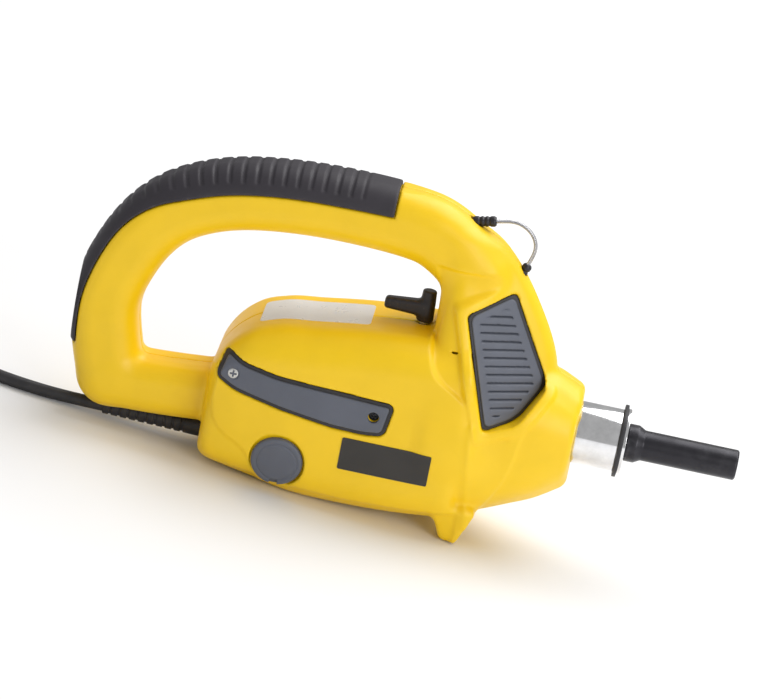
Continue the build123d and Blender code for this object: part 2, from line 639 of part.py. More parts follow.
ENTRY_ANGLE, OUTER_TURN = 50, COIL_MEAN_RADIUS + COIL_SLOTS / 2 * COIL_PITCH
exit_point, first_bend = stood(RELIEF_BACK, 0, CORD_Z), stood(RELIEF_BACK - 24, 0, CORD_Z)
CORD_ROUTE = [
    tuple(exit_point), tuple(first_bend),
    (-224, -0.4, 3.9), (-250, 4.5, 3.9), (-272, 17.5, 4.0), (-289, 32.5, 4.6),
    at_coil(ENTRY_ANGLE + 6, OUTER_TURN, COIL_FLOOR),
]
TAIL_ROUTE = [
    at_coil(58, OUTER_TURN - 1, COIL_TOP - 0.5), at_coil(82, OUTER_TURN + 2, COIL_TOP - 1),
    at_coil(105, OUTER_TURN + 7, 22), at_coil(127, OUTER_TURN + 14.5, 13.5),
    at_coil(147, OUTER_TURN + 21, 7), at_coil(163, OUTER_TURN + 25.5, 5.4),
    at_coil(177, OUTER_TURN + 27.2, 8.6),
]


def cord_tube(name, route):
    """A plain tube along straight runs joined by tangent arcs."""
    radii = arc_radii(route)
    with BuildPart() as made:
        with BuildLine() as line:
            FilletPolyline(*route, radius=radii)
        with BuildSketch(Plane(origin=line.line @ 0, z_dir=line.line % 0)):
            Circle(CORD_RADIUS)
        sweep(path=line.line)
    made.part.label = name
    cord_pieces[name] = made.part
    length = sum(edge.length for edge in line.line.edges())
    share = made.part.volume / (pi * CORD_RADIUS**2 * length)
    print(name, "radii", [round(r) for r in radii], "length", round(length), "volume share", round(share, 4))


cord_tube("power_cord", CORD_ROUTE)
cord_tube("cord_tail", TAIL_ROUTE)

coil_width = COIL_SLOTS * COIL_PITCH + CORD_DIAMETER
coil_height = COIL_TOP + CORD_RADIUS - TIE_THICKNESS
with BuildPart() as coil:
    with BuildSketch(Plane.XZ):
        with Locations((COIL_MEAN_RADIUS, TIE_THICKNESS + coil_height / 2)):
            RectangleRounded(coil_width, coil_height, 3.5)
    revolve(axis=Axis.Z)
cord_pieces["cord_coil"] = Pos(*COIL_CENTRE, 0) * coil.part

with BuildPart() as tie:
    with BuildSketch(Plane.XZ.offset(-TIE_WIDTH / 2)):
        with Locations((COIL_MEAN_RADIUS, (coil_height + 2 * TIE_THICKNESS) / 2)):
            RectangleRounded(coil_width + 3 * TIE_THICKNESS, coil_height + 2 * TIE_THICKNESS, 4.5)
            RectangleRounded(coil_width + TIE_THICKNESS, coil_height, 3.4, mode=Mode.SUBTRACT)
    extrude(amount=TIE_WIDTH)
cord_pieces["cord_tie"] = Pos(*COIL_CENTRE, 0) * Rot(0, 0, -115) * tie.part

PLUG_SIZE = (36, 39, 20)        # across, along and high
PLUG_RELIEF, PIN_LENGTH, PIN_RADIUS, PIN_SPREAD = 21.0, 19.0, 2.4, 19.0
with BuildPart() as plug:
    with BuildSketch(Plane.XY.offset(0)):
        Circle(5.2)
    with BuildSketch(Plane.XY.offset(PLUG_RELIEF)):
        RectangleRounded(17, 14, 6)
    loft()
    with BuildSketch(Plane.XY.offset(PLUG_RELIEF)):
        RectangleRounded(PLUG_SIZE[0], PLUG_SIZE[2], 8)
    extrude(amount=PLUG_SIZE[1])
    fillet(plug.faces().filter_by(Axis.Z).sort_by(Axis.Z)[-1].edges(), 2)
    pin_root = PLUG_RELIEF + PLUG_SIZE[1] - 4
    with Locations((-PIN_SPREAD / 2, 0, pin_root), (PIN_SPREAD / 2, 0, pin_root)):
        Cylinder(PIN_RADIUS, PIN_LENGTH + 4, align=(Align.CENTER, Align.CENTER, Align.MIN))
    fillet(plug.faces().sort_by(Axis.Z)[-2:].edges(), 0.8)
plug_mouth = Vector(*TAIL_ROUTE[-1])
plug_place = Location((plug_mouth.X, plug_mouth.Y + 2, PLUG_SIZE[2] / 2), (90, 0, 3))
cord_pieces["power_plug"] = plug_place * plug.part

# ---------------------------------------------------------------- files
os.makedirs("parts", exist_ok=True)
for name, solids in pieces.items():
    stood_piece = Compound([stand * solid for solid in solids])
    stood_piece.label = name
    export_step(stood_piece, f"parts/{name}.step")
for name, piece in cord_pieces.items():
    piece.label = name
    export_step(piece, f"parts/{name}.step")

print("nodes", len(pieces) + len(cord_pieces), "x", round(x_low, 2), round(x_high, 2), "z", round(z_low, 2))
print("exit", exit_point, "first bend", first_bend, "origin of the tool's frame", stood(0, 0, 0))
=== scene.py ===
import json
import math

import bmesh
import bpy
import numpy as np
import openvdb
from mathutils import Matrix, Vector


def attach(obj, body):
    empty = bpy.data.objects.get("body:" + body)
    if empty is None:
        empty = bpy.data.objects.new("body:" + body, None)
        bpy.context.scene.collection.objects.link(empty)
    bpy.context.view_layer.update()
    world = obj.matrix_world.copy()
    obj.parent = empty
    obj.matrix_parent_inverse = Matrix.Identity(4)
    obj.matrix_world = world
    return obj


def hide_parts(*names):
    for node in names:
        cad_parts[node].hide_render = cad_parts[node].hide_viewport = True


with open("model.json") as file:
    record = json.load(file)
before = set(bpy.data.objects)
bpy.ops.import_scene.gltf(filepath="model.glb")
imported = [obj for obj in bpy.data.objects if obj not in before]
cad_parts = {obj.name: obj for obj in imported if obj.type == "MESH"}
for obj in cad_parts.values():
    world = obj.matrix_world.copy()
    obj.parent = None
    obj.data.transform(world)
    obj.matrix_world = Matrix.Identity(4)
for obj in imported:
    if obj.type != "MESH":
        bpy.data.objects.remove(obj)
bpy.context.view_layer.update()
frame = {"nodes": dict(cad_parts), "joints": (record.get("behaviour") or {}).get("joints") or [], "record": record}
NODES = frame["nodes"]
JOINTS = {j["name"]: j for j in frame["joints"]}

# ------------------------------------------------------------------ the tool's own frame
# +X along the motor axis towards the nose, +Z up from it, in millimetres, as the CAD has it.
AXIS = Vector(JOINTS["rotor_spin"]["axis"]).normalized()
ORIGIN = Vector(JOINTS["rotor_spin"]["pos_m"])
SIDE = Vector((0, 1, 0))
UP = AXIS.cross(SIDE)
TOOL = np.array([AXIS, SIDE, UP]) * 0.001


def to_row(points):
    """Points of the tool's frame, in millimetres, as points of the row frame, in metres."""
    return np.asarray(points, float).reshape(-1, 3) @ TOOL + np.array(ORIGIN)


# ------------------------------------------------------------------ distance fields
def smin(a, b, k):
    h = np.maximum(k - np.abs(a - b), 0) / k
    return np.minimum(a, b) - h * h * k / 4


def smax(a, b, k):
    return -smin(-a, -b, k)


def smooth(edge0, edge1, v):
    t = np.clip((v - edge0) / (edge1 - edge0), 0, 1)
    return t * t * (3 - 2 * t)


def through(stations, at):
    """Each column of a list of stations as a smooth curve of its first column, at the given places."""
    table = np.array(sorted(stations), float)
    places = table[:, 0]
    at = np.clip(at, places[0], places[-1])
    slot = np.clip(np.searchsorted(places, at) - 1, 0, len(places) - 2)
    run = places[slot + 1] - places[slot]
    t = (at - places[slot]) / run
    columns = []
    for values in table[:, 1:].T:
        slope = np.gradient(values, places)
        columns.append(
            (2 * t**3 - 3 * t**2 + 1) * values[slot]
            + (t**3 - 2 * t**2 + t) * run * slope[slot]
            + (3 * t**2 - 2 * t**3) * values[slot + 1]
            + (t**3 - t**2) * run * slope[slot + 1]
        )
    return columns


def rounded_rect(u, v, half_u, half_v, radius):
    """Distance to a rounded rectangle round the origin of a plane."""
    a = np.abs(u) - (half_u - radius)
    b = np.abs(v) - (half_v - radius)
    return np.hypot(np.maximum(a, 0), np.maximum(b, 0)) + np.minimum(np.maximum(a, b), 0) - radius


def polygon(u, v, corners):
    """Signed distance to a closed outline of any shape in a plane."""
    corners = np.array(corners, float)
    best = np.full(np.broadcast(u, v).shape, 1e18)
    inside = np.zeros(best.shape, bool)
    for (u0, v0), (u1, v1) in zip(corners, np.roll(corners, -1, axis=0)):
        eu, ev = u1 - u0, v1 - v0
        wu, wv = u - u0, v - v0
        t = np.clip((wu * eu + wv * ev) / (eu * eu + ev * ev), 0, 1)
        best = np.minimum(best, (wu - t * eu) ** 2 + (wv - t * ev) ** 2)
        crosses = (v0 <= v) != (v1 <= v)
        with np.errstate(divide="ignore", invalid="ignore"):
            left = u < u0 + (v - v0) * eu / (ev if ev else 1e-9)
        inside ^= crosses & left
    return np.where(inside, -1, 1) * np.sqrt(best)


def convex(u, v, corners, k):
    """Distance to a convex outline whose corners are rounded by about k."""
    corners = np.array(corners, float)
    middle = corners.mean(axis=0)
    d = None
    for p, q in zip(corners, np.roll(corners, -1, axis=0)):
        normal = np.array([q[1] - p[1], p[0] - q[0]])
        normal /= np.hypot(*normal)
        if (middle - p) @ normal > 0:
            normal = -normal
        plane = (u - p[0]) * normal[0] + (v - p[1]) * normal[1]
        d = plane if d is None else smax(d, plane, k)
    return d


def near_path(u, v, path):
    """Distance to a line through points of a plane, and how far along it the nearest place is."""
    path = np.array(path, float)
    runs = np.hypot(*np.diff(path, axis=0).T)
    starts = np.concatenate([[0], np.cumsum(runs)])
    best = np.full(np.broadcast(u, v).shape, 1e18)
    along = np.zeros(best.shape)
    for k, (p, q) in enumerate(zip(path, path[1:])):
        e = q - p
        t = np.clip(((u - p[0]) * e[0] + (v - p[1]) * e[1]) / (e @ e), 0, 1)
        d = (u - p[0] - t * e[0]) ** 2 + (v - p[1] - t * e[1]) ** 2
        nearer = d < best
        best = np.where(nearer, d, best)
        along = np.where(nearer, starts[k] + t * runs[k], along)
    return np.sqrt(best), along


def rounded(points, count=160):
    """A smooth line that follows the corners of a route closely: a quadratic B-spline of them."""
    points = np.array(points, float)
    dense = [points[0]]
    middles = (points[1:] + points[:-1]) / 2
    middles[0], middles[-1] = points[0], points[-1]
    steps = max(4, count // (len(points) - 2))
    for k in range(len(points) - 2):
        a, b, c = middles[k], points[k + 1], middles[k + 1]
        for t in np.linspace(0, 1, steps + 1)[1:]:
            dense.append((1 - t) ** 2 * a + 2 * t * (1 - t) * b + t * t * c)
    return np.array(dense)


def rounded_outline(corners, cut=2.2):
    """An outline whose corners are cut twice, so that they read as round."""
    corners = np.array(corners, float)
    for share in (cut, cut * 0.4):
        made = []
        for before, here, after in zip(np.roll(corners, 1, 0), corners, np.roll(corners, -1, 0)):
            for other in (before, after):
                run = other - here
                made.append(here + run / np.hypot(*run) * min(share, np.hypot(*run) * 0.4))
        corners = np.array(made)
    return corners


def axial(x, y, z, x0, x1, radius, cy=0.0, cz=0.0):
    """Distance to a cylinder along X."""
    return np.maximum(np.hypot(y - cy, z - cz) - radius, np.maximum(x0 - x, x - x1))


def crosswise(x, y, z, cx, cz, y0, y1, radius):
    """Distance to a cylinder along Y."""
    return np.maximum(np.hypot(x - cx, z - cz) - radius, np.maximum(y0 - y, y - y1))


def block(x, y, z, xs, ys, zs):
    """Distance to a box, given by its ranges."""
    d = np.maximum(xs[0] - x, x - xs[1])
    d = np.maximum(d, np.maximum(ys[0] - y, y - ys[1]))
    return np.maximum(d, np.maximum(zs[0] - z, z - zs[1]))


# ------------------------------------------------------------------ the shells' shape, in tool millimetres
BODY_STATIONS = [
    (-221, 8, -54.0, 37.5, 14), (-212, 21, -56.2, 40.5, 15), (-203, 29.5, -58.0, 42.5, 17),
    (-187, 37.0, -61.2, 44.3, 21),
    (-165, 40.6, -65.3, 45.6, 22), (-131, 45.6, -66.4, 46.0, 22), (-100, 48.0, -65.2, 46.0, 22),
    (-64, 48.0, -61.5, 45.0, 22),
]
SNOUT_STATIONS = [
    (0, 28.0, -33.0, 30.0, 29.4), (-17.5, 35.0, -44.5, 35.0, 33.0), (-31, 37.5, -50.5, 37.5, 34.0),
    (-52, 40.0, -58.2, 40.5, 31.0), (-80, 41.0, -63.5, 42.0, 24.0),
]
POST_STATIONS = [
    (-44, -92, 36, -56, 37, -34, 24), (-26, -94, 46, -56, 46, -28, 27), (10, -95, 46, -67, 46, -20, 16),
    (37, -95.5, 38, -72.5, 38.4, -19, 7), (74, -96, 26, -80, 28, -36.5, 6),
    (97, -99, 19, -84, 21.5, -53.5, 6), (112, -104, 17, -86, 18.5, -69, 7),
]
HANDLE_LINE = [
    (-78, 86), (-97, 104), (-128, 109.4), (-186, 109.6), (-236, 101.5),
    (-272, 80), (-292.5, 34), (-291, 5), (-282, -22),
]
BAR_LINE = [(-282, -25), (-255, -26), (-212, -21)]
HANDLE_HALF, HANDLE_ROUND, BAR_HALF, BAR_ROUND = 20.5, 16.0, 17.0, 13.0
GRIP_EDGE = [
    (-131, 114), (-180, 114.3), (-226, 108.4), (-256, 97.5), (-273, 89.5), (-288, 75),
    (-298, 55), (-305, 30), (-305.8, 10), (-304.5, -6),
]
VENT_CORNERS = [(-76.7, 67.1), (-52.4, 80.5), (-24.2, 29.8), (-37, 9.5), (-54.5, 3)]
STRIP_OUTLINE = [
    (-212, 19), (-200, 14), (-179, 10.6), (-143, 9.5), (-109, 8.2), (-112, -11.2),
    (-124, -12.8), (-143, -12.4), (-175, -8.4), (-204, -3), (-216, 2.5),
]
STRIP_SCREW, STRIP_HOLE = (-206, 6.5), (-119.5, -1)
CAP_CENTRE, CAP_RADIUS, CAP_LEAN = (-171, -44.4, -42), 15.8, 10
FOOT_X, FOOT_Z, FOOT_Y = -63.0, -75.0, 27.0
SCREW_SPOTS = [
    (-280, -25), (-283, 66), (-222, 104), (-128, 109.4), (-76, 90), (-214, -30), (-86, -52), (-204.5, 19.5),
]
# Each ferrule of the hanging loop: its two ends in the side view, and its radius.
FERRULES = [((-86, 116.0), (-72.3, 118.9), 3.2), ((-54.2, 84.5), (-48.6, 96.6), 2.9)]
CORD_Z = -46.8
SWITCH_X = -102.6
POCKET = 2.4
TRIM_DEPTH = POCKET - 0.1
SEAM_GAP, SEAM_ROUND = 0.05, 0.9
CAP_RING, NOTCH_HALF, NOTCH_DEPTH = 12.2, 2.3, 1.9
SLAT_PITCH, SLAT_LEAN, SLIT_SHARE = 4.7, 0.9, 0.16
INTAKE_START, INTAKE_PITCH, INTAKE_WIDTH, INTAKE_SLOTS = -188, 9, 4, 5
HANDLE_CORE, POST_WALL, BOSS_RADIUS = 12.5, 4.5, 5.5
SLEEVE_RADIUS, SLEEVE_BORE, SPRING_ROOM = 19, 14.35, 17.3
HUB_RADIUS, HUB_BOTTOM, HUB_TOP = 5.2, 49, 68.4
FILM_TOP, FILM_BOTTOM = 0.45, -0.15
# Rooms about the motor axis, from the rear bearing to the nose: start, end and radius.
ROUND_ROOMS = [
    (-210, -200, 14), (-213, -209, 8), (-200, -193, 22), (-193, -176, 31), (-176, -94, 35),
    (-94, -74, 37.5), (-74, -62, 34), (-62, -3, 24), (-3, 1.5, 20.2),
]
# Rooms for the wires, the switch, the brush holders and the cord's clamp, as ranges along each axis.
BOX_ROOMS = [
    ((-196, -82), (-28, 28), (-57, -38)), ((-193, -185), (18, 26), (-40, -10)),
    ((-114, -92), (-14, 14), (28, 40)), ((-196, -186), (-38, 38), (-6, 6)),
    ((-217, -214), (-8.5, 8.5), (-52.5, -40)), ((-214, -196), (-10, 10), (-46.8, -38.5)),
    ((-82, -62), (-33, -20), (30, 45)),
]
STRIP_EDGE = rounded_outline(STRIP_OUTLINE)
HANDLE_ROUTE, BAR_ROUTE = rounded(HANDLE_LINE), rounded(BAR_LINE, 40)
GRIP_ZONE = [*map(tuple, rounded(GRIP_EDGE, 90))] + [(-345, -6), (-345, 150), (-131, 150)]


def body(x, y, z):
    top, bottom, half, radius = through(BODY_STATIONS, x)
    d = rounded_rect(y, z - (top + bottom) / 2, half, (top - bottom) / 2, radius)
    return smax(d, np.maximum(-221 - x, x + 64), 7)


def snout(x, y, z):
    top, bottom, half, radius = through(SNOUT_STATIONS, x)
    d = rounded_rect(y, z - (top + bottom) / 2, half, (top - bottom) / 2, radius)
    return smax(d, np.maximum(x, -80 - x), 4)


def post(x, y, z):
    back, back_half, crease, crease_half, nose, nose_half = through(POST_STATIONS, z)
    a = np.abs(y)
    run, rise = crease - back, crease_half - back_half
    flank = ((x - back) * -rise + (a - back_half) * run) / np.hypot(run, rise)
    run, rise = nose - crease, nose_half - crease_half
    facet = ((x - crease) * -rise + (a - crease_half) * run) / np.hypot(run, rise)
    d = smax(flank, facet, 5)
    d = smax(d, x - nose, 7)
    d = smax(d, back - x, 12)
    return smax(d, np.maximum(-44 - z, z - 112), 8)


def handle(x, y, z):
    away, _ = near_path(x, z, HANDLE_ROUTE)
    return rounded_rect(away, y, HANDLE_HALF, HANDLE_HALF, HANDLE_ROUND)


def bar(x, y, z):
    away, _ = near_path(x, z, BAR_ROUTE)
    d = rounded_rect(y, away, HANDLE_HALF, BAR_HALF, BAR_ROUND)
    return np.maximum(d, x + 205)


def feet(x, y, z):
    t = np.clip((z - FOOT_Z + 2) / 24, 0, 1)
    half_x, half_y = 4.5 + 9 * t, 6.5 + 6.5 * t
    d = rounded_rect(x - FOOT_X, np.abs(y) - FOOT_Y, half_x, half_y, 3.5)
    d = smax(d * 0.94, z - FOOT_Z - 26, 4)
    floor = ORIGIN.z * 1000 + x * AXIS.z + z * UP.z
    return smax(d, -floor, 3.5)


def skin(x, y, z):
    """The outer surface of both shells together, without the pockets."""
    d = smin(body(x, y, z), snout(x, y, z), 3)
    d = smin(d, post(x, y, z), 3.5)
    loop = smin(handle(x, y, z), bar(x, y, z), 5)
    d = smin(d, loop, 4)
    return smin(d, feet(x, y, z), 5)


# Outlines, in the side view, of the stretches that lie a little lower than the shape round them.
NECK = rounded([(-99, 78), (-96.5, 60), (-92.5, 40), (-86.5, 30), (-72.6, 22.4), (-60, 13), (-56, 0)], 60)
NECK = [*map(tuple, NECK), (-40, 0), (-40, 90), (-99, 90)]
NOSE = rounded([(-24, 36), (-31, 6), (-34, -20), (-44, -44), (-54, -66)], 40)
NOSE = [*map(tuple, NOSE), (8, -66), (8, 36)]
REAR_LINE = [(-214, 6), (-217, -4), (-217, -16), (-211, -30.5), (-191.6, -38), (-182, -55), (-178, -80)]
REAR = rounded(REAR_LINE, 60)
REAR = [*map(tuple, REAR), (-240, -80), (-240, 6)]
SKIRT = [(-240, -51), (-200, -54.5), (-130, -58), (-80, -56.5), (-60, -53), (-60, -90), (-240, -90)]


def moulding(x, y, z):
    """How far the surface stands out or in from the plain shape: rims, steps and creases."""
    on_side = smooth(14, 22, np.abs(y))
    off_vent = convex(x, z, VENT_CORNERS, 4)
    rim = 1.2 * (1 - smooth(5.5, 8.0, off_vent))
    crease, _ = near_path(x, z, rounded([(-62, 4), (-59, -20), (-57, -44), (-54, -62)], 20))
    ridge = 0.9 * np.exp(-((crease / 2.4) ** 2))
    neck = -2.4 * (1 - smooth(-1.2, 2.2, polygon(x, z, NECK))) * smooth(6.5, 10, off_vent)
    nose = -1.1 * (1 - smooth(-1.2, 1.2, polygon(x, z, NOSE))) * smooth(6.5, 9, off_vent)
    rear = -1.2 * (1 - smooth(-1.4, 1.4, polygon(x, z, REAR)))
    skirt = -1.0 * (1 - smooth(-1.2, 1.2, polygon(x, z, SKIRT)))
    return (rim + ridge + neck + nose) * on_side + (rear + skirt) * smooth(24, 34, np.abs(y))


def cap_axis(x, y, z):
    """Distance out from the round cap's axis, and along it outwards from its seat."""
    lean = math.radians(90 + CAP_LEAN)
    u = np.array([1, 0, 0])
    n = np.array([0, -math.sin(lean), math.cos(lean)])
    w = np.cross(n, u)
    px, py, pz = x - CAP_CENTRE[0], y - CAP_CENTRE[1], z - CAP_CENTRE[2]
    across_u = px * u[0] + py * u[1] + pz * u[2]
    across_w = px * w[0] + py * w[1] + pz * w[2]
    out = px * n[0] + py * n[1] + pz * n[2]
    return across_u, across_w, out


def hollow(x, y, z):
    """The rooms inside the shells, with the bosses left standing."""
    d = axial(x, y, z, *ROUND_ROOMS[0])
    for room in ROUND_ROOMS[1:]:
        d = np.minimum(d, axial(x, y, z, *room))
    for room in BOX_ROOMS:
        d = np.minimum(d, block(x, y, z, *room))
    away, _ = near_path(x, z, HANDLE_ROUTE)
    d = np.minimum(d, np.hypot(away, y) - HANDLE_CORE)
    d = np.minimum(d, axial(x, y, z, -268, -222, 10, cz=-26))
    in_post = block(x, y, z, (-90, -25), (-30, 30), (41, 82))
    d = np.minimum(d, np.maximum(post(x, y, z) + POST_WALL, in_post))
    for cx, cz in SCREW_SPOTS:
        d = np.maximum(d, BOSS_RADIUS - np.hypot(x - cx, z - cz))
    return d


def shell(x, y, z):
    """One shell, for y below 0."""
    d = skin(x, y, z) - moulding(x, y, z)
    grip = np.maximum(polygon(x, z, GRIP_ZONE), -handle(x, y, z) - POCKET)
    d = smax(d, -grip, 0.9)
    vent = np.maximum(convex(x, z, VENT_CORNERS, 3) - 1.0, y + 3)
    d = smax(d, -np.maximum(vent, -post(x, y, z) - POCKET), 0.8)
    duct = np.maximum(convex(x, z, VENT_CORNERS, 3) + 5, y + 20)
    d = np.maximum(d, -duct)
    strip = np.maximum(polygon(x, z, STRIP_EDGE) - 0.9, y + 24)
    d = smax(d, -np.maximum(strip, -body(x, y, z) - POCKET), 0.8)
    u, w, out = cap_axis(x, y, z)
    cap = np.maximum(np.hypot(u, w) - CAP_RADIUS - 0.9, -3 - out)
    d = smax(d, -cap, 0.8)
    d = np.maximum(d, -axial(x, y, z, -295, -216, 6.7, cz=CORD_Z))
    d = np.maximum(d, -axial(x, y, z, -217, -199, 3.9, cz=CORD_Z))
    d = np.maximum(d, -np.maximum(np.hypot(x - SWITCH_X, y) - 3.9, np.maximum(38 - z, z - 58)))
    for k in range(INTAKE_SLOTS):
        start = INTAKE_START + INTAKE_PITCH * k
        d = np.maximum(d, -block(x, y, z, (start, start + INTAKE_WIDTH), (-20, 20), (-80, -50)))
    for (x0, z0), (x1, z1), radius in FERRULES:
        away, _ = near_path(x, z, [(x0, z0), (x1, z1)])
        d = np.maximum(d, radius + 0.1 - np.hypot(away, y))
    for cx, cz, radius in ((*STRIP_SCREW, 1.7), (*STRIP_HOLE, 3.2)):
        d = np.maximum(d, -crosswise(x, y, z, cx, cz, -50, -28, radius))
    d = np.maximum(d, -hollow(x, y, z))
    return d


# ------------------------------------------------------------------ meshes out of fields
def surface(field, low, high, step):
    """The zero surface of a field in a box of the tool's frame, as points and quads."""
    axes = [np.arange(a - step, b + 2 * step, step) for a, b in zip(low, high)]
    x, y, z = axes[0][:, None, None], axes[1][None, :, None], axes[2][None, None, :]
    d = np.broadcast_to(field(x, y, z), [len(a) for a in axes])
    grid = openvdb.FloatGrid(3 * step)
    grid.copyFromArray(np.ascontiguousarray(np.clip(d, -3 * step, 3 * step), dtype=np.float32))
    points, _, quads = grid.convertToPolygons(isovalue=0.0, adaptivity=0.0)
    return points * step + np.array([a[0] for a in axes]), quads.astype(int)


def flipped(made):
    """The same surface on the other side of the tool."""
    points, faces = made
    return points * np.array([1, -1, 1]), faces[:, ::-1]


def together(*several):
    points, faces, base = [], [], 0
    for p, f in several:
        points.append(p)
        faces.append(f + base)
        base += len(p)
    return np.vstack(points), np.vstack(faces)


def add_mesh(name, made, placed=False):
    """An object out of points and faces: of the tool's frame, or of the row's with placed."""
    points, faces = made
    points = np.asarray(points, float) if placed else to_row(points)
    mesh = bpy.data.meshes.new(name)
    faces = faces.tolist() if hasattr(faces, "tolist") else faces
    mesh.from_pydata(points.tolist(), [], faces)
    mesh.shade_smooth()
    obj = bpy.data.objects.new(name, mesh)
    bpy.context.scene.collection.objects.link(obj)
    return obj


def lathe(profile, count=96):
    """A closed profile of (x, radius) turned about the motor axis."""
    profile = np.array(profile, float)
    angles = np.arange(count) * 2 * math.pi / count
    x = np.repeat(profile[None, :, 0], count, 0)
    across, above = (np.outer(wave(angles), profile[:, 1]) for wave in (np.cos, np.sin))
    points = np.stack([x, across, above], -1)
    n = len(profile)
    faces = []
    for k in range(count):
        a, b = k * n, (k + 1) % count * n
        for i in range(n):
            j = (i + 1) % n
            faces.append((a + i, a + j, b + j, b + i))
    return points.reshape(-1, 3), np.array(faces)


def softened(profile, size=0.4):
    """A closed profile with each corner cut into a small round."""
    profile = np.array(profile, float)
    made = []
    for before, here, after in zip(np.roll(profile, 1, 0), profile, np.roll(profile, -1, 0)):
        ends = []
        for other in (before, after):
            run = other - here
            length = np.hypot(*run)
            ends.append(here + run / length * min(size, length * 0.45))
        for t in (0, 0.35, 0.65, 1):
            made.append((1 - t) ** 2 * ends[0] + 2 * t * (1 - t) * here + t * t * ends[1])
    return made


def tidy(obj, angle=35):
    """Drops doubled points, points the faces outwards and keeps real edges sharp."""
    bm = bmesh.new()
    bm.from_mesh(obj.data)
    bmesh.ops.remove_doubles(bm, verts=bm.verts, dist=1e-6)
    bmesh.ops.dissolve_degenerate(bm, edges=bm.edges, dist=1e-7)
    bmesh.ops.recalc_face_normals(bm, faces=bm.faces)
    bm.to_mesh(obj.data)
    bm.free()
    obj.data.shade_smooth()
    obj.data.set_sharp_from_angle(angle=math.radians(angle))
    return obj


def place(obj, body, slot, *nodes):
    """Rides a piece on its body, takes its finish from a slot and stands for the CAD nodes."""
    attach(obj, body)
    if nodes:
        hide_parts(*nodes)
    obj.data.materials.clear()
    obj.data.materials.append(MATERIALS[slot])
    return obj


def both_sides(name, made, slot, node=None):
    """A piece of the right side and its mirror image on the left, each standing for its own CAD node."""
    for side, shape in (("right", made), ("left", flipped(made))):
        nodes = [f"{node}_{side}"] if node else []
        place(add_mesh(f"{name}_{side}", shape), "root", slot, *nodes)


# ------------------------------------------------------------------ materials
def material(name):
    made = bpy.data.materials.new(name)
    made.use_nodes = True
    tree = made.node_tree
    tree.nodes.clear()
    out = tree.nodes.new("ShaderNodeOutputMaterial")
    shader = tree.nodes.new("ShaderNodeBsdfPrincipled")
    tree.links.new(shader.outputs[0], out.inputs[0])
    return made, tree, shader


def noise(tree, scale, detail=4.0, roughness=0.6, stretch=None):
    where = tree.nodes.new("ShaderNodeTexCoord").outputs["Object"]
    if stretch:
        mapping = tree.nodes.new("ShaderNodeMapping")
        mapping.inputs["Scale"].default_value = stretch
        tree.links.new(where, mapping.inputs["Vector"])
        where = mapping.outputs[0]
    node = tree.nodes.new("ShaderNodeTexNoise")
    node.inputs["Scale"].default_value = scale
    node.inputs["Detail"].default_value = detail
    node.inputs["Roughness"].default_value = roughness
    tree.links.new(where, node.inputs["Vector"])
    return node.outputs["Fac"]


def ramp(tree, value, stops):
    """A colour ramp of (place, colour) stops over a value."""
    node = tree.nodes.new("ShaderNodeValToRGB")
    while len(node.color_ramp.elements) < len(stops):
        node.color_ramp.elements.new(0.5)
    for element, (at, colour) in zip(node.color_ramp.elements, stops):
        element.position = at
        element.color = (*colour, 1)
    tree.links.new(value, node.inputs["Fac"])
    return node.outputs["Color"]


def spread(tree, value, low, high, start=0.3, end=0.7):
    node = tree.nodes.new("ShaderNodeMapRange")
    node.inputs["From Min"].default_value = start
    node.inputs["From Max"].default_value = end
    node.inputs["To Min"].default_value = low
    node.inputs["To Max"].default_value = high
    tree.links.new(value, node.inputs["Value"])
    return node.outputs[0]


def mix(tree, factor, a, b, blend="MIX"):
    node = tree.nodes.new("ShaderNodeMix")
    node.data_type = "RGBA"
    node.blend_type = blend
    for socket, value in ((node.inputs[0], factor), (node.inputs[6], a), (node.inputs[7], b)):
        if isinstance(value, bpy.types.NodeSocket):
            tree.links.new(value, socket)
        else:
            socket.default_value = value if isinstance(value, float) else (*value, 1)
    return node.outputs[2]


def bump(tree, shader, height, distance, strength=1.0):
    node = tree.nodes.new("ShaderNodeBump")
    node.inputs["Strength"].default_value = strength
    node.inputs["Distance"].default_value = distance
    tree.links.new(height, node.inputs["Height"])
    tree.links.new(node.outputs[0], shader.inputs["Normal"])


def edges(tree, low=0.5, high=0.62):
    """Where the surface is a convex edge, from its curvature."""
    geometry = tree.nodes.new("ShaderNodeNewGeometry")
    return spread(tree, geometry.outputs["Pointiness"], 0.0, 1.0, low, high)


def plastic(
    name, colour, rough, grain=2600.0, depth=0.00004, mottle=0.06, wear=0.25,
    coat=0.0, metallic=0.0, worn=None,
):
    """Moulded plastic or rubber: a fine grain, slow changes of shade, and paler rubbed edges."""
    made, tree, shader = material(name)
    colour = np.array(colour)
    darker, paler = tuple(colour * (1 - mottle)), tuple(np.minimum(colour * (1 + mottle), 1))
    tone = ramp(tree, noise(tree, 38.0, 5.0), [(0.3, darker), (0.7, paler)])
    rubbed = worn if worn else tuple(np.minimum(colour * 1.25 + 0.03, 1))
    marks = tree.nodes.new("ShaderNodeMath")
    marks.operation = "MULTIPLY"
    tree.links.new(edges(tree), marks.inputs[0])
    tree.links.new(spread(tree, noise(tree, 160.0, 6.0), 0.0, wear, 0.42, 0.72), marks.inputs[1])
    tree.links.new(mix(tree, marks.outputs[0], tone, rubbed), shader.inputs["Base Color"])
    uneven = spread(tree, noise(tree, 90.0, 6.0), rough - 0.05, rough + 0.07)
    tree.links.new(uneven, shader.inputs["Roughness"])
    shader.inputs["Metallic"].default_value = metallic
    shader.inputs["Coat Weight"].default_value = coat
    bump(tree, shader, noise(tree, grain, 2.0), depth, 0.6)
    return made


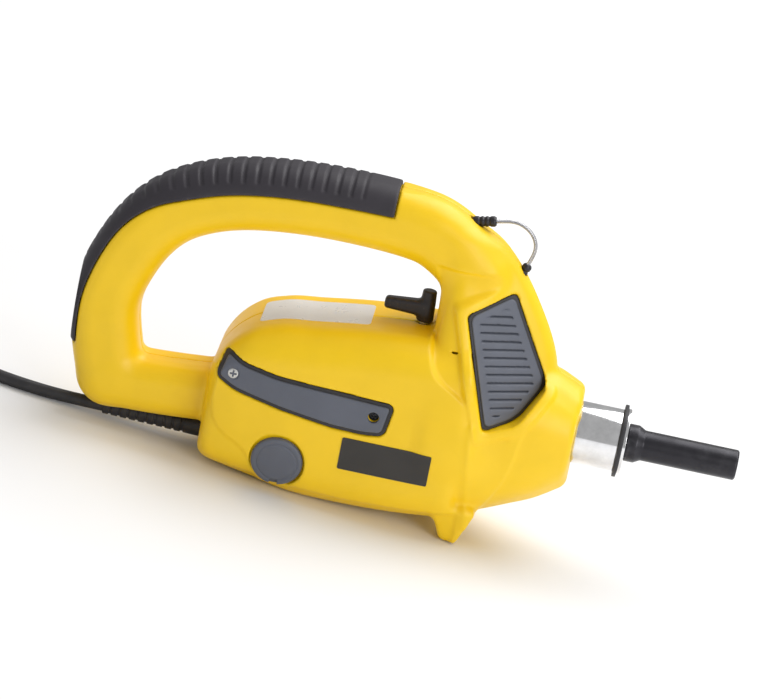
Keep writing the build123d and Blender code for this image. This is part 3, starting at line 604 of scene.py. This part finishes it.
def metal(name, colour, rough, stretch, scale=900.0, depth=0.000012, spots=None):
    """Turned or drawn metal: fine lines along one direction, with slight staining."""
    made, tree, shader = material(name)
    colour = np.array(colour)
    darker, paler = tuple(colour * 0.86), tuple(np.minimum(colour * 1.05, 1))
    tone = ramp(tree, noise(tree, 120.0, 6.0), [(0.35, darker), (0.7, paler)])
    if spots:
        tone = mix(tree, spread(tree, noise(tree, 420.0, 8.0, 0.7), 0.0, 0.8, 0.6, 0.72), tone, spots)
    tree.links.new(tone, shader.inputs["Base Color"])
    lines = noise(tree, scale, 3.0, 0.7, stretch)
    tree.links.new(spread(tree, lines, rough * 0.7, rough * 1.4), shader.inputs["Roughness"])
    shader.inputs["Metallic"].default_value = 1.0
    bump(tree, shader, lines, depth, 0.5)
    return made


ALONG, ROUND = (0.06, 1.0, 1.0), (1.0, 0.05, 0.05)
MATERIALS = {
    "yellow_shell": plastic(
        "yellow_shell", (0.93, 0.60, 0.002), 0.40, 2400.0, 0.00003, 0.03, 0.5,
        worn=(0.95, 0.70, 0.06),
    ),
    "grip_rubber": plastic(
        "grip_rubber", (0.026, 0.022, 0.029), 0.58, 1500.0, 0.00008, 0.14, 0.5,
        worn=(0.13, 0.12, 0.14),
    ),
    "grey_trim": plastic("grey_trim", (0.105, 0.115, 0.145), 0.5, 2200.0, 0.00005, 0.08, 0.4),
    "black_plastic": plastic(
        "black_plastic", (0.014, 0.012, 0.015), 0.42, 2000.0, 0.00004, 0.12, 0.4,
        worn=(0.10, 0.10, 0.11),
    ),
    "white_plastic": plastic("white_plastic", (0.72, 0.71, 0.68), 0.45),
    "dark_film": plastic("dark_film", (0.022, 0.019, 0.016), 0.34, 3000.0, 0.00001, 0.1, 0.3),
    "silver_film": plastic("silver_film", (0.78, 0.79, 0.80), 0.3, 3000.0, 0.00001, 0.04, 0.2, metallic=0.15),
    "zinc_screw": metal("zinc_screw", (0.62, 0.62, 0.60), 0.32, ROUND, spots=(0.35, 0.33, 0.28)),
    "black_steel": plastic(
        "black_steel", (0.022, 0.021, 0.026), 0.33, 1800.0, 0.00002, 0.15, 0.7, metallic=0.55,
        worn=(0.32, 0.32, 0.34),
    ),
    "wire_steel": metal("wire_steel", (0.58, 0.58, 0.60), 0.3, (1, 1, 1), spots=(0.30, 0.29, 0.28)),
    "ground_steel": metal("ground_steel", (0.63, 0.63, 0.64), 0.24, ROUND),
    "copper": metal("copper", (0.86, 0.42, 0.24), 0.25, ROUND, spots=(0.30, 0.12, 0.06)),
    "lamination": metal("lamination", (0.30, 0.31, 0.33), 0.42, (1.0, 0.02, 0.02), 2400.0, 0.00005),
    "winding": metal("winding", (0.60, 0.22, 0.07), 0.34, ALONG, 1400.0, 0.0001),
    "brass": metal("brass", (0.78, 0.57, 0.25), 0.3, ROUND, spots=(0.34, 0.22, 0.08)),
    "carbon": plastic("carbon", (0.045, 0.045, 0.05), 0.55, 1400.0, 0.00008, 0.2, 0.3),
    "cast_aluminium": metal(
        "cast_aluminium", (0.60, 0.61, 0.62), 0.46, (1, 1, 1), 1300.0, 0.00008,
        spots=(0.38, 0.38, 0.38),
    ),
    "chrome_sleeve": metal("chrome_sleeve", (0.86, 0.86, 0.87), 0.12, ROUND, 700.0, 0.000004),
    "black_rubber": plastic(
        "black_rubber", (0.022, 0.021, 0.024), 0.5, 1800.0, 0.00005, 0.15, 0.4,
        worn=(0.10, 0.10, 0.11),
    ),
}
for part in frame["record"]["subparts"]:
    skinned = NODES[part["node"]].data.materials
    skinned.clear()
    skinned.append(MATERIALS[part["material_slot"]])

# ------------------------------------------------------------------ camera, floor and light
# How wide the view is at the object, and how far off the camera stands, in metres.
VIEW_WIDTH, DISTANCE = 0.4662, 2.6
ROLL, LOOK_DOWN, YAW = math.radians(11.3), math.radians(20), math.radians(-2)
aim = Vector(to_row([(-120.5, 8.4, 23.1)])[0])
right0 = AXIS * math.cos(YAW) - SIDE * math.sin(YAW)
depth0 = SIDE * math.cos(YAW) + AXIS * math.sin(YAW)
look = depth0 * math.cos(LOOK_DOWN) - UP * math.sin(LOOK_DOWN)
up0 = UP * math.cos(LOOK_DOWN) + depth0 * math.sin(LOOK_DOWN)
right = right0 * math.cos(ROLL) + up0 * math.sin(ROLL)
above = up0 * math.cos(ROLL) - right0 * math.sin(ROLL)
lens = bpy.data.cameras.new("camera")
lens.sensor_width = 36
lens.lens = 36 * DISTANCE / VIEW_WIDTH
lens.clip_start, lens.clip_end = 0.1, 50
camera = bpy.data.objects.new("camera", lens)
bpy.context.scene.collection.objects.link(camera)
turn = Matrix([right, above, -look]).transposed()
camera.matrix_world = Matrix.Translation(aim - look * DISTANCE) @ turn.to_4x4()
bpy.context.scene.camera = camera
bpy.context.scene.view_settings.view_transform = "Standard"

floor = add_mesh("floor", ([(-6, -6, 0), (6, -6, 0), (6, 6, 0), (-6, 6, 0)], [(0, 1, 2, 3)]), placed=True)
floor_paint, floor_tree, floor_shader = material("floor_paper")
FLOOR_SHADES = [(0.3, (0.86, 0.86, 0.87)), (0.7, (0.88, 0.88, 0.885))]
floor_tone = ramp(floor_tree, noise(floor_tree, 3.0, 3.0), FLOOR_SHADES)
floor_tree.links.new(floor_tone, floor_shader.inputs["Base Color"])
floor_shader.inputs["Roughness"].default_value = 0.7
floor.data.materials.append(floor_paint)


def lamp(name, size, power, at, towards, colour=(1, 1, 1)):
    data = bpy.data.lights.new(name, "AREA")
    data.shape = "RECTANGLE"
    data.size, data.size_y = size
    data.energy = power
    data.color = colour
    obj = bpy.data.objects.new(name, data)
    bpy.context.scene.collection.objects.link(obj)
    obj.location = at
    obj.rotation_mode = "QUATERNION"
    obj.rotation_quaternion = (Vector(towards) - Vector(at)).to_track_quat("-Z", "Y")
    return obj


lamp("softbox_top", (3.0, 2.4), 84, (0.9, 0.9, 2.6), (0.0, 0, 0.1))
lamp("softbox_front", (1.4, 1.2), 22, (1.5, -1.9, 1.1), (0, 0, 0.1))
world = bpy.data.worlds.new("studio")
world.use_nodes = True
world.node_tree.nodes["Background"].inputs[0].default_value = (1, 1, 1, 1)
world.node_tree.nodes["Background"].inputs[1].default_value = 0.44
bpy.context.scene.world = world

# ------------------------------------------------------------------ the cord, in row millimetres
CORD_DIAMETER, CORD_LENGTH = 7.6, 5.0
COIL_CENTRE, COIL_FLOOR, COIL_PITCH = (-338, -8), 5.0, 7.828
OUTER_TURN, INNER_TURN, ROWS, TURNS_A_ROW, POINTS_A_TURN = 62.156, 30.844, 4, 4, 18


def at_coil(angle, radius, height):
    turn = math.radians(angle)
    return (COIL_CENTRE[0] + radius * math.cos(turn), COIL_CENTRE[1] + radius * math.sin(turn), height)


def coil_points():
    """The turns, row on row: inwards, outwards, inwards and outwards again, ending on top."""
    points = []
    count = ROWS * TURNS_A_ROW * POINTS_A_TURN
    for k in range(3, count + 1):
        row, along = divmod(k / POINTS_A_TURN, TURNS_A_ROW)
        share = along / TURNS_A_ROW
        if row % 2:
            share = 1 - share
        radius = OUTER_TURN + (INNER_TURN - OUTER_TURN) * share
        height = COIL_FLOOR + COIL_PITCH * min(row + max(0.0, (along - TURNS_A_ROW + 0.12) / 0.12), ROWS - 1)
        points.append(at_coil(50 + 360 * k / POINTS_A_TURN, radius * 1.01, height))
    return points


CORD_ROUTE = [
    (-169.085, 0, 6.384), (-192.968, 0, 4.02), (-224, -0.4, 3.9), (-250, 4.5, 3.9),
    (-272, 17.5, 4.0), (-289, 32.5, 4.6), at_coil(56, OUTER_TURN, COIL_FLOOR),
]
COIL_TOP = COIL_FLOOR + (ROWS - 1) * COIL_PITCH
TAIL_ROUTE = [
    at_coil(82, OUTER_TURN + 2, COIL_TOP - 1), at_coil(105, OUTER_TURN + 7, 22),
    at_coil(127, OUTER_TURN + 14.5, 13.5), at_coil(147, OUTER_TURN + 21, 7),
    at_coil(163, OUTER_TURN + 25.5, 5.4), at_coil(177, OUTER_TURN + 27.2, 8.6),
]
cord_points = [*CORD_ROUTE, *coil_points()[:-1], *TAIL_ROUTE]
flex_data = bpy.data.curves.new("power_flex", "CURVE")
flex_data.dimensions = "3D"
flex_data.bevel_depth = CORD_DIAMETER / 2000
flex_data.bevel_resolution = 5
flex_data.resolution_u = 5
flex_data.use_fill_caps = True
spline = flex_data.splines.new("NURBS")
spline.points.add(len(cord_points) - 1)
for point, at in zip(spline.points, cord_points):
    point.co = (*(c * 0.001 for c in at), 1)
spline.order_u = 3
spline.use_endpoint_u = True
flex = bpy.data.objects.new("power_flex", flex_data)
bpy.context.scene.collection.objects.link(flex)

# ------------------------------------------------------------------ shells and trims
COARSE, FINE = ((1.0, 0.6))
SHELL_LOW, SHELL_HIGH = (-308, -48, -76), (2, 1, 127)


def right_shell(x, y, z):
    return smax(shell(x, y, z), y + SEAM_GAP, SEAM_ROUND)


def left_shell(x, y, z):
    d = shell(x, y, z)
    for cx, cz in SCREW_SPOTS:
        d = np.maximum(d, -crosswise(x, y, z, cx, cz, -60, -9, 4.1))
        d = np.maximum(d, -crosswise(x, y, z, cx, cz, -14, 2, 2.05))
    return smax(d, y + SEAM_GAP, SEAM_ROUND)


place(
    add_mesh("shell_right", surface(right_shell, SHELL_LOW, SHELL_HIGH, COARSE)),
    "root", "yellow_shell", "housing_right",
)
place(
    add_mesh("shell_left", flipped(surface(left_shell, SHELL_LOW, SHELL_HIGH, COARSE))),
    "root", "yellow_shell", "housing_left",
)

RIB_PITCH = 7.6


def grip(x, y, z):
    away, along = near_path(x, z, HANDLE_ROUTE)
    d = rounded_rect(away, y, HANDLE_HALF, HANDLE_HALF, HANDLE_ROUND)
    zone = polygon(x, z, GRIP_ZONE)
    phase = np.abs((along / RIB_PITCH) % 1 - 0.5) * 2
    groove = 1 - smooth(0.16, 0.42, phase)
    inside = smooth(6.5, 8.5, -zone) * smooth(18, 22, -131 - x)
    outer = d - 0.7 + 0.75 * groove * inside
    return smax(smax(outer, -(d + TRIM_DEPTH), 0.4), zone + 0.5, 1.2)


place(
    add_mesh("grip_cover", surface(grip, (-308, -23, -8), (-129, 23, 131), FINE)),
    "root", "grip_rubber", "handle_grip",
)


def vent(x, y, z):
    p = post(x, y, z)
    outline = convex(x, z, VENT_CORNERS, 4)
    d = smax(p - 0.2, outline + 1.0, 1.0)
    d = smax(d, -(p + TRIM_DEPTH), 0.3)
    slat = (z + SLAT_LEAN * (p + 1)) / SLAT_PITCH
    slit = (np.abs(slat % 1 - 0.5) - SLIT_SHARE) * SLAT_PITCH
    slit = smax(slit, outline + 5.2, 0.8)
    d = smax(d, -slit, 0.5)
    return np.maximum(d, y + 4)


vent_made = surface(vent, (-79, -48, 0), (-22, -4, 84), 0.5)
both_sides("vent", vent_made, "grey_trim", "vent_panel")


# Painted shadow: a black band down in the gap round the vent panel, a dark piece standing in for the shade that
# falls in the gap.
def vent_gap_shadow(x, y, z):
    p = post(x, y, z)
    outline = convex(x, z, VENT_CORNERS, 4)
    d = smax(np.abs(p + 1.5) - 0.85, outline - 0.75, 0.3)
    return np.maximum(np.maximum(d, -1.4 - outline), y + 4)


gap_shadow_made = surface(vent_gap_shadow, (-80, -49, -1), (-21, -4, 85), 0.5)
both_sides("vent_gap_shadow", gap_shadow_made, "black_rubber")


def strip(x, y, z):
    b = body(x, y, z)
    outline = polygon(x, z, STRIP_EDGE)
    d = smax(b - 0.5, outline + 1.6, 1.0)
    d = smax(d, -(b + TRIM_DEPTH), 0.3)
    d = smax(d, -crosswise(x, y, z, *STRIP_SCREW, -60, -42.2, 3.6), 0.6)
    d = smax(d, -crosswise(x, y, z, *STRIP_HOLE, -60, -43.2, 3.3), 0.6)
    return np.maximum(d, y + 25)


strip_made = surface(strip, (-218, -49, -15), (-107, -24, 21), 0.45)
both_sides("strip", strip_made, "grey_trim", "side_strip")


# Painted shadow: a black band down in the gap round the side strip, a dark piece standing in for the shade that
# falls in the gap.
def strip_gap_shadow(x, y, z):
    b = body(x, y, z)
    outline = polygon(x, z, STRIP_EDGE)
    d = smax(np.abs(b + 1.5) - 0.85, outline - 0.65, 0.3)
    return np.maximum(np.maximum(d, -2.5 - outline), y + 25)


gap_shadow_made = surface(strip_gap_shadow, (-219, -49, -16), (-106, -24, 22), 0.45)
both_sides("strip_gap_shadow", gap_shadow_made, "black_rubber")


def round_cap(x, y, z):
    u, w, out = cap_axis(x, y, z)
    away = np.hypot(u, w)
    d = smax(away - CAP_RADIUS + 0.2, out - 0.9 + away * away / 900, 1.6)
    d = smax(d, -2.9 - out, 0.3)
    ring = np.abs(away - CAP_RING) - 0.45
    d = smax(d, -smax(ring, 0.35 - out, 0.3), 0.4)
    notch = np.maximum(np.abs(u) - NOTCH_HALF, np.maximum(CAP_RING + w, -NOTCH_DEPTH - out))
    return smax(d, -notch, 0.5)


cap_made = surface(round_cap, (-188, -50, -59), (-154, -37, -25), 0.4)
both_sides("cap", cap_made, "grey_trim", "round_cap")


# ------------------------------------------------------------------ films on the body
def film(name, rows, middle, lift):
    """A thin film over a rounded rectangle, put on the surface by lift(u, v, height) -> points."""
    us, halves = rows
    vs = np.linspace(-1, 1, 15)
    u = np.repeat(us[:, None], len(vs), 1).ravel()
    v = middle + np.outer(halves, vs).ravel()
    nu, nv = len(us), len(vs)
    points = np.vstack([lift(u, v, height) for height in (FILM_TOP, FILM_BOTTOM)])
    faces = []
    for i in range(nu - 1):
        for j in range(nv - 1):
            a, b, c, e = i * nv + j, (i + 1) * nv + j, (i + 1) * nv + j + 1, i * nv + j + 1
            faces.append((a, b, c, e))
            faces.append((e + nu * nv, c + nu * nv, b + nu * nv, a + nu * nv))
    border = [i * nv for i in range(nu)] + [(nu - 1) * nv + j for j in range(1, nv)]
    border += [i * nv + nv - 1 for i in range(nu - 2, -1, -1)] + [j for j in range(nv - 2, 0, -1)]
    for a, b in zip(border, border[1:] + border[:1]):
        faces.append((b, a, a + nu * nv, b + nu * nv))
    return tidy(add_mesh(name, (points, faces)), 40)


def rounded_ends(low, high, half, radius):
    """The rows of a rounded rectangle, and its half width at each."""
    bend = radius * (1 - np.cos(np.linspace(0, math.pi / 2, 7)))
    us = np.concatenate([low + bend, np.linspace(low + radius, high - radius, 13)[1:-1], high - bend[::-1]])
    short = np.maximum(0, radius - np.minimum(us - low, high - us))
    return us, half - radius + np.sqrt(np.maximum(radius**2 - short**2, 0.01))


def on_top(u, v, height):
    z = np.full(len(u), 47.0)
    for _ in range(8):
        z -= skin(u, v, z) - height
    return np.stack([u, v, z], -1)


def on_flank(u, v, height):
    y = np.full(len(u), -46.0)
    for _ in range(8):
        y += skin(u, y, v) - moulding(u, y, v) - height
    return np.stack([u, y, v], -1)


def on_left_flank(u, v, height):
    return on_flank(u, v, height) * np.array([1, -1, 1])


plate_rows = rounded_ends(-198, -133, 17.5, 3)
place(film("plate_film", plate_rows, 0, on_top), "root", "silver_film", "rating_plate")
decal_rows = rounded_ends(-135, -81, 10, 1.0)
decal = film("decal_film", decal_rows, -27, on_flank)
decal_left = film("decal_film_left", decal_rows, -27, on_left_flank)
place(decal, "root", "dark_film", "side_decals")
place(decal_left, "root", "dark_film", "side_decals")


# ------------------------------------------------------------------ screws
def screw(head_radius, head_height, shank_radius, shank):
    """A pan-head screw round Z, with its head's seat at z = 0 and a cross recess, as points and quads."""
    def field(u, w, out):
        away = np.hypot(u, w)
        d = smax(away - head_radius, np.maximum(-out, out - head_height + away * away * 0.045), 0.5)
        d = np.minimum(d, np.maximum(away - shank_radius, np.maximum(out - 0.5, -shank - out)))
        arms = np.minimum(
            np.maximum(np.abs(u) - 0.5, np.abs(w) - head_radius * 0.62),
            np.maximum(np.abs(w) - 0.5, np.abs(u) - head_radius * 0.62),
        )
        return smax(d, -np.maximum(arms, head_height * 0.35 - out), 0.2)

    reach = head_radius + 0.4
    return surface(field, (-reach, -reach, -shank), (reach, reach, head_height), 0.25)


def seated(made, x, z, y, side):
    """A screw's points turned so that its head faces outwards on one side, at a place of the side view."""
    points, faces = made
    u, w, out = points.T
    turned = np.stack([u + x, y + side * out, w + z], -1)
    return (turned, faces) if side < 0 else (turned, faces[:, ::-1])


strip_screw = screw(3.3, 2.0, 1.6, 10)
hole_screw = screw(2.9, 2.0, 1.6, 4)
both = together(*(seated(strip_screw, *STRIP_SCREW, side * 40.6, side) for side in (-1, 1)))
place(add_mesh("strip_screws_rear", both), "root", "zinc_screw", "strip_rear_screws")
both = together(*(seated(hole_screw, *STRIP_HOLE, side * 41.4, side) for side in (-1, 1)))
place(add_mesh("strip_screws_front", both), "root", "black_steel", "strip_front_screws")
shell_screw = screw(3.8, 3.2, 1.95, 22)
all_spots = together(*(seated(shell_screw, x, z, 9.05, 1) for x, z in SCREW_SPOTS))
place(add_mesh("shell_screws", all_spots), "root", "zinc_screw", "housing_screws")


# ------------------------------------------------------------------ turned pieces at the nose
def turned(name, profile, body_name, slot, *nodes, soft=0.4, count=128):
    obj = tidy(add_mesh(name, lathe(softened(profile, soft), count)), 30)
    return place(obj, body_name, slot, *nodes)


turned("sleeve_turned", [
    (-2, SPRING_ROOM), (-2, SLEEVE_RADIUS), (25.6, SLEEVE_RADIUS), (25.6, 16), (28, 16), (28, 20),
    (30, 20), (30, SLEEVE_BORE), (12, SLEEVE_BORE), (12, SPRING_ROOM),
], "sleeve", "chrome_sleeve", "coupling_sleeve")
turned("ring_turned", [
    (25.65, 16.05), (25.65, 22), (27.95, 22), (27.95, 16.05),
], "sleeve", "black_rubber", "sleeve_ring", soft=0.5)
turned("output_turned", [
    (-50, 0.02), (-50, 6), (-40, 6), (-40, 7.5), (-18, 7.5), (-18, 8.5), (30.5, 8.5), (30.5, 11.4),
    (36.5, 11.4), (40.5, 9.2), (97, 9.2), (98, 8.2), (98, 3), (90, 3), (88, 0.02),
], "rotor", "black_steel", "output_shaft", soft=0.6)


def relief_field(x, y, z):
    away = np.hypot(y, z - CORD_Z)
    radius = 4.9 + (x + 283) / 60 * 1.6
    groove = np.abs(((x + 281) / 5.6) % 1 - 0.5) * 5.6 - 0.8
    groove = smax(groove, x + 232, 0.5)
    d = smax(away - np.minimum(radius, 6.5), -smax(groove, -(away - radius + 0.75), 0.3), 0.5)
    d = smax(d, np.maximum(-283 - x, x + 214), 0.8)
    d = np.minimum(d, block(x, y, z, (-216.8, -214.2), (-8, 8), (-52, -40.5)))
    return np.maximum(d, 3.8 - away)


place(
    add_mesh("relief_boot", surface(relief_field, (-284, -9, -56), (-213, 9, -38), 0.4)),
    "root", "black_rubber", "cord_strain_relief",
)


# ------------------------------------------------------------------ hanging loop
def between(made, start, end):
    """A piece turned about X from 0 to its length, laid from one side-view point to another."""
    points, faces = made
    run = np.array([end[0] - start[0], 0, end[1] - start[1]])
    ahead = run / np.linalg.norm(run)
    up = np.cross(ahead, (0, 1, 0))
    frame_axes = np.array([ahead, (0, 1, 0), up])
    return points @ frame_axes + np.array([start[0], 0, start[1]]), faces


def ferrule(start, end, radius):
    length = math.dist(start, end)
    profile = [(0, 1.3), (0, radius - 0.5), (1.2, radius)]
    for k in range(3):
        x = length * (0.3 + 0.2 * k)
        profile += [(x - 0.9, radius), (x - 0.4, radius - 0.45), (x + 0.4, radius - 0.45), (x + 0.9, radius)]
    profile += [(length - 1.2, radius), (length, radius - 0.7), (length, 1.3)]
    return between(lathe(softened(profile, 0.3), 48), start, end)


ferrules = together(*(ferrule(*f) for f in FERRULES))
place(tidy(add_mesh("loop_crimps", ferrules)), "root", "black_plastic", "loop_ferrules")

LOOP_LINE = [(-84, 116.4), (-72, 119), (-60.5, 121.6), (-50.5, 117), (-45.6, 108), (-48.9, 96), (-53, 87)]


def strand(path, radius, offset, phase, lay, sides=8):
    """A round strand wound about a line of the side view, as points and quads."""
    ahead = np.gradient(path, axis=0)
    ahead /= np.linalg.norm(ahead, axis=1)[:, None]
    normal = np.stack([-ahead[:, 2], 0 * ahead[:, 0], ahead[:, 0]], -1)
    along = np.concatenate([[0], np.cumsum(np.linalg.norm(np.diff(path, axis=0), axis=1))])
    turn = phase + along / lay * 2 * math.pi
    side = np.array([0, 1.0, 0])
    centre = path + offset * (np.cos(turn)[:, None] * normal + np.sin(turn)[:, None] * side)
    around = np.arange(sides) * 2 * math.pi / sides
    rings = centre[:, None] + radius * (
        np.cos(around)[None, :, None] * normal[:, None] + np.sin(around)[None, :, None] * side
    )
    faces = []
    for i in range(len(path) - 1):
        for j in range(sides):
            a, b = i * sides + j, i * sides + (j + 1) % sides
            faces.append((a, b, b + sides, a + sides))
    return rings.reshape(-1, 3), np.array(faces)


wire = rounded(LOOP_LINE, 200)
wire = np.stack([wire[:, 0], 0 * wire[:, 0], wire[:, 1]], -1)
strands = [strand(wire, 0.42, 0, 0, 9.0)] + [strand(wire, 0.42, 0.8, k * math.pi / 3, 9.0) for k in range(6)]
place(tidy(add_mesh("loop_wire", together(*strands)), 60), "root", "wire_steel", "hanging_loop")


# ------------------------------------------------------------------ switch lever
def lever(x, y, z):
    t = np.clip((x + 128) / 25, 0, 1)
    arm = rounded_rect(y, z - 56 - 0.8 * t, 3.4 + 1.1 * t, 3.6 + 1.4 * t, 2.4)
    arm = smax(arm, np.maximum(-128 - x, x + 100), 2.5)
    away = np.hypot(x - SWITCH_X, y)
    taper = 0.05 * (z - HUB_BOTTOM)
    hub = smax(away - HUB_RADIUS + taper, np.maximum(HUB_BOTTOM - z, z - HUB_TOP), 1.2)
    d = smin(arm, hub, 3)
    for k in range(4):
        gx = -124 + 4 * k
        d = smax(d, -np.maximum(np.abs(x - gx) - 0.6, 3.4 + 0.3 * k - np.abs(y)), 0.5)
    return d


place(
    add_mesh("lever_arm", surface(lever, (-130, -7, 47), (-96, 7, 70), 0.35)),
    "lever", "black_plastic", "switch_lever",
)


# ------------------------------------------------------------------ tie and plug, on the cord
def row_object(name, made, at, turn):
    """A piece made about its own origin in millimetres, set down in the row frame."""
    points, faces = made
    angle = math.radians(turn)
    c, s = math.cos(angle), math.sin(angle)
    spin = np.array([[c, -s, 0], [s, c, 0], [0, 0, 1]])
    return add_mesh(name, ((points @ spin.T + np.array(at)) * 0.001, faces), placed=True)


TIE_WIDTH = 11.0


def tie(u, t, v):
    d = rounded_rect(u - 46.5, v - 16.0, 20.6, 15.4, 4.5)
    d = smax(np.abs(d) - 0.55, np.abs(t) - TIE_WIDTH / 2, 0.5)
    tab = smax(rounded_rect(u - 52, t, 9, 4.6, 2), np.abs(v - 31.9) - 0.45, 0.3)
    return np.minimum(d, tab)


tie_band = row_object("coil_tie", surface(tie, (24, -7, 0), (69, 7, 33.4), 0.45), (*COIL_CENTRE, 0), -115)
place(tie_band, "root", "black_plastic", "cord_tie")

TAIL_END = TAIL_ROUTE[-1]
PLUG_AT = (TAIL_END[0], TAIL_END[1] + 2, 10)


def plug(u, t, v):
    """The plug, lying flat: across, along (its cord end at t = 0, pins towards -t) and up."""
    s = -t
    boot = smax(np.hypot(u, v) - 5.2 - s * 0.12, np.maximum(-s, s - 23), 0.8)
    groove = np.abs((s / 4.4) % 1 - 0.5) * 4.4 - 0.7
    boot = smax(boot, -np.maximum(np.maximum(groove, s - 18), 4.6 + s * 0.12 - np.hypot(u, v)), 0.4)
    waist = 2.2 * np.exp(-(((s - 33) / 9) ** 2))
    case = rounded_rect(u, v, 17.8 - waist, 9.8, 7.5)
    case = smax(case, np.maximum(21.5 - s, s - 59.8), 3.0)
    for k in range(4):
        rib = np.maximum(np.abs(s - 28 - 4 * k) - 0.6, 15.4 - np.abs(u))
        case = smax(case, -rib, 0.5)
    return smin(boot, case, 2.0)


def pins(u, t, v):
    s = -t
    away = np.hypot(np.abs(u) - 9.5, v)
    return smax(away - 2.4, np.maximum(54 - s, s - 78.8), 0.9)


plug_body = row_object("plug_body", surface(plug, (-19, -61, -10.5), (19, 1, 10.5), 0.6), PLUG_AT, 3)
place(plug_body, "root", "black_rubber", "power_plug")
plug_pins = row_object("plug_pins", surface(pins, (-12.5, -80, -3), (12.5, -53, 3), 0.4), PLUG_AT, 3)
place(plug_pins, "root", "brass", "power_plug")

place(flex, "root", "black_rubber", "power_cord", "cord_coil", "cord_tail")
